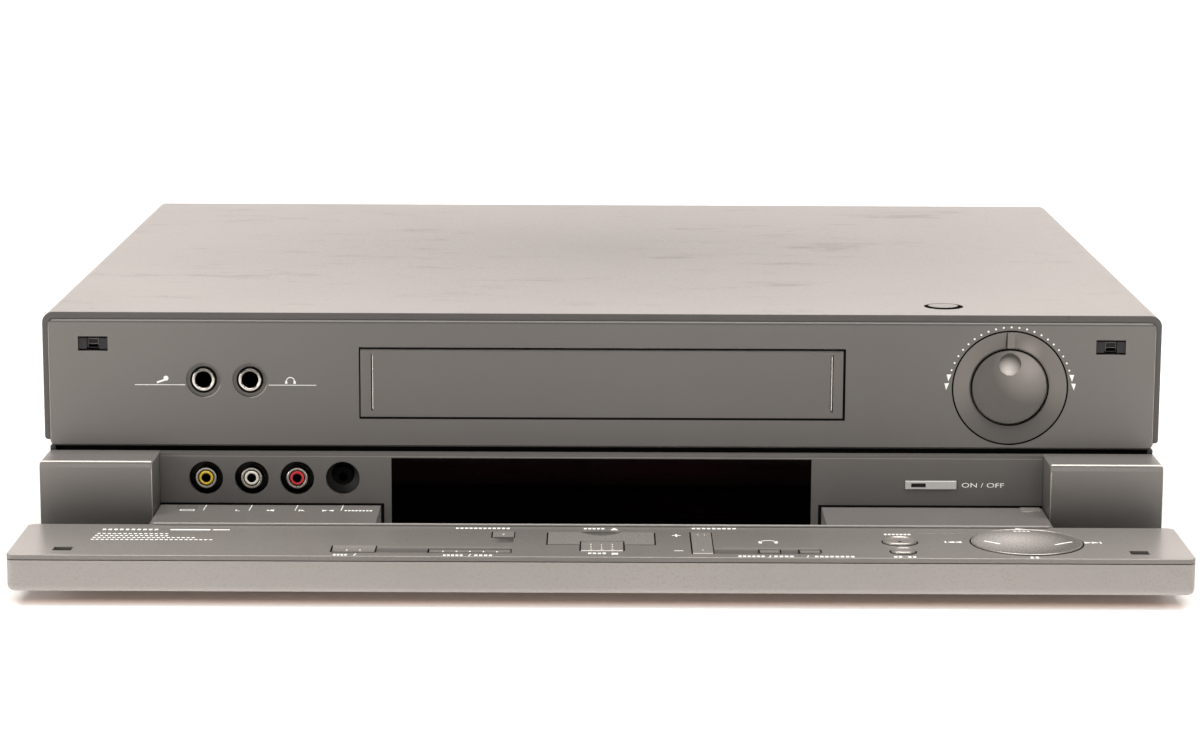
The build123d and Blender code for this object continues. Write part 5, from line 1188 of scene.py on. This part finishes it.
# %% Edges of the end blocks
CHAMFER_DEEP = 0.8
CHAMFER_HIGH = 1.6
CORNER_INSET = 0.25
CORNER_HALF = 0.12
slant = (CHAMFER_DEEP ** 2 + CHAMFER_HIGH ** 2) ** 0.5
slant_turn = (radians(90) - atan2(CHAMFER_HIGH, CHAMFER_DEEP), 0, 0)
for name, side in (("left_end_block", -1), ("right_end_block", 1)):
    block = solid(name)
    strip = bar(block.left + 0.4, block.right - 0.4, slant - 0.95, slant - 0.1)
    top_edge = (0, block.front, block.top - 0.02)
    printed(name + "_edge", [strip], "case", top_edge, slant_turn, chamfer_highlight_paint, "panel")
    inner = (block.right if side < 0 else block.left) + side * CORNER_INSET
    strip = bar(inner - CORNER_HALF, inner + CORNER_HALF, block.bottom + 8, block.top - 1.8)
    printed(name + "_corner", [strip], "case", (0, block.front, 0), STANDING, glint_paint, "panel")
print("slant of the chamfer:", round(slant, 2))

# %% [markdown]
# ## Grips and latches
# The cassette door has a thin groove near each end. It is drawn as a painted highlight, a bright
# line, with a painted shade, a dark line, beside it. Each latch is a square plunger with a hook on
# its front, and it slides forward between two guides, which fill the rest of its window.

# %% Door grips
GRIP_HALF = 0.16
SHADE_HALF = 0.18
grips = [bar(x - GRIP_HALF, x + GRIP_HALF, HOOD.top - 38.1, HOOD.top - 16.6) for x in (-90.2, 90.6)]
printed("door_grip_highlights", grips, "cassette_door", (0, door.front, 0), STANDING, glint_paint, "panel")
shades = [bar(x - SHADE_HALF, x + SHADE_HALF, HOOD.top - 38.9, HOOD.top - 16.0) for x in (-90.6, 91.0)]
seam("door_grip_shades", shades, "cassette_door", (0, door.front + 0.02, 0), STANDING)
print("door grips done")

# %% Latches
WINDOW_HALF = 5.8
GUIDE_GAP = 0.15
GUIDE_SINK = 1.2
GUIDE_THICK = 1.0
for name in ("left_latch", "right_latch"):
    latch = solid(name)
    x0, x1, z0, z1 = latch.left, latch.right, latch.bottom, latch.top
    # The hook is drawn as thin grey lines on the black plunger: painted highlights along its edges.
    hook = [
        bar(x0, x1, z1 - 0.45, z1 - 0.1),
        bar(x0 + 0.1, x0 + 0.45, z0 + 0.6, z1 - 0.5),
        bar(x1 - 0.45, x1 - 0.1, z0 + 0.6, z1 - 0.5),
        bar(x0 + 0.4, x1 - 0.4, latch.z - 0.35, latch.z - 0.1),
    ]
    printed(name + "_hook", hook, name, (0, latch.front, 0), STANDING, shade_and_highlight_grey, "black")
    guides = [
        bar(latch.x - WINDOW_HALF, x0 - GUIDE_GAP, z0 - 0.1, z1 + 0.1),
        bar(x1 + GUIDE_GAP, latch.x + WINDOW_HALF, z0 - 0.1, z1 + 0.1),
    ]
    sunk = (0, FACE + GUIDE_SINK, 0)
    printed(name + "_guides", guides, "case", sunk, STANDING, latch_plastic, "black", GUIDE_THICK)
print("latches done")

# %% [markdown]
# ## Rear lip of the control plate
# A low lip stops small things from rolling off the plate into the recess behind it. It could be
# drawn as a profile and pushed along, but a long box with rounded edges has the same shape.
# It ends inside the end blocks, so it clears them when the flap closes.

# %% Rear lip
LIP_HALF = 172.0
LIP_DEEP = 1.3
LIP_HEIGHT = 0.9
LIP_SUNK = 0.2
LIP_SET_BACK = 0.8
LIP_SEAM_HALF = 171.5
plate_back = FACE - solid("control_plate").back
lip_place = (0, FACE - plate_back - LIP_SET_BACK, FLAP_TOP + LIP_HEIGHT / 2 - LIP_SUNK / 2)
lip_size = (2 * LIP_HALF, LIP_DEEP, LIP_HEIGHT + LIP_SUNK)
lip = added(
    bpy.ops.mesh.primitive_cube_add, size=1, location=Vector(lip_place) * MM, scale=Vector(lip_size) * MM,
)
bpy.ops.object.transform_apply(location=False, rotation=False, scale=True)
rounded(lip, 0.45, 4)
bpy.ops.object.shade_smooth_by_angle(angle=radians(40))
settle(lip, "plate_lip", "flap", flap_paint_and_shade)
# A dark line runs along the front foot of the lip.
lip_seam = bar(-LIP_SEAM_HALF, LIP_SEAM_HALF, -plate_back - 1.80, -plate_back - 1.55)
seam("plate_lip_dark_line", [lip_seam], *ON_FLAP)
print("lip:", len(lip.data.polygons), "faces")

# %% [markdown]
# ## Guides on the control plate
# A thin bright line leads from the record key to the play pad and curves round it. The pad has
# two slanted marks and a row of blocks. Its top is curved, so flat ink would sink into it or
# float over it. The ink is pressed down onto the solid first, and gets its thickness last.

# %% Guide line
guides = [bar(119.0, 139.5, -51.2, -50.9), arc_band(PAD.x, PAD.y - FACE, 22.6, 0.3, 98, 142, 24)]
printed("guide_line", guides, *ON_FLAP, glint_paint, "flap")
print("guide line done")

# %% Marks on the pad
INK_LIFT = 0.02
INK_CUTS = 5
DROP = 3


def draped(name, outlines, node):
    """Lays flat ink over a curved key: split finely, pressed down on the key, then thickened."""
    piece = printed(name, outlines, node, (0, FACE, FLAP_TOP + DROP), LYING, thick=0)
    alone(piece)
    bpy.ops.object.mode_set(mode="EDIT")
    bpy.ops.mesh.select_all(action="SELECT")
    bpy.ops.mesh.subdivide(number_cuts=INK_CUTS)
    bpy.ops.object.mode_set(mode="OBJECT")
    press = piece.modifiers.new("press", "SHRINKWRAP")
    press.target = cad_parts[node]
    press.wrap_method = "PROJECT"
    press.use_project_z = True
    press.use_negative_direction = True
    press.use_positive_direction = False
    press.offset = INK_LIFT * MM
    bpy.ops.object.modifier_apply(modifier="press")
    thicken(piece, INK, 1)


pad_marks = [stroke(144.0, -66.9, 149.3, -73.0, 0.8), stroke(169.6, -74.3, 176.9, -67.8, 0.8)]
draped("pad_marks", pad_marks, "play_pad")
draped("pad_label", blocks(157.0, 163.8, 51.0, 4), "play_pad")
print("pad marks done")

# %% [markdown]
# ## Screws at the back
# The rear panel and the two audio-video sockets are held by small screws with a cross recess.
# One is modelled: a short cylinder with a rounded rim, from which a plus sign is cut.
# The others are copies with their own mesh, scaled and put in their places.

# %% One screw
HEAD_RADIUS = 2.9
HEAD_HEIGHT = 1.6
RECESS_LONG = 3.4
RECESS_WIDE = 0.75
RECESS_DEEP = 1.4


def cross_screw():
    """A screw head that looks along +Z, with its seat at the origin."""
    head = added(
        bpy.ops.mesh.primitive_cylinder_add, vertices=40, radius=HEAD_RADIUS * MM,
        depth=HEAD_HEIGHT * MM, location=(0, 0, HEAD_HEIGHT / 2 * MM),
    )
    rounded(head, 0.55, 4)
    for size in ((RECESS_LONG, RECESS_WIDE, RECESS_DEEP), (RECESS_WIDE, RECESS_LONG, RECESS_DEEP)):
        top = (0, 0, HEAD_HEIGHT * MM)
        blade = added(bpy.ops.mesh.primitive_cube_add, size=1, location=top, scale=Vector(size) * MM)
        cut_out(head, blade)
    bpy.ops.object.shade_smooth_by_angle(angle=radians(40))
    return head


first_screw = cross_screw()
print("screw:", len(first_screw.data.polygons), "faces")

# %% All screws
TURN_STEP = 17
FLANGE_INSET = 1.9
rear = solid("rear_panel").back
flange = solid("scart_sockets")
flange_xs = (flange.left + FLANGE_INSET, -20.0, flange.right - FLANGE_INSET)
screw_places = [(x, rear, z, 1.0) for x in (-203.0, 0.0, 203.0) for z in (18.0, 85.0)]
screw_places += [(x, flange.back, flange.z, 0.5) for x in flange_xs]
for index, (x, y, z, size) in enumerate(screw_places):
    screw = twin(first_screw)
    screw.location = Vector((x, y, z)) * MM
    screw.rotation_euler = (radians(-90), radians(TURN_STEP * index), 0)
    screw.scale = (size, size, size)
    settle(screw, "rear_screw_" + str(index + 1), "case", dark_steel)
bpy.data.objects.remove(first_screw)
print("screws:", len(screw_places))
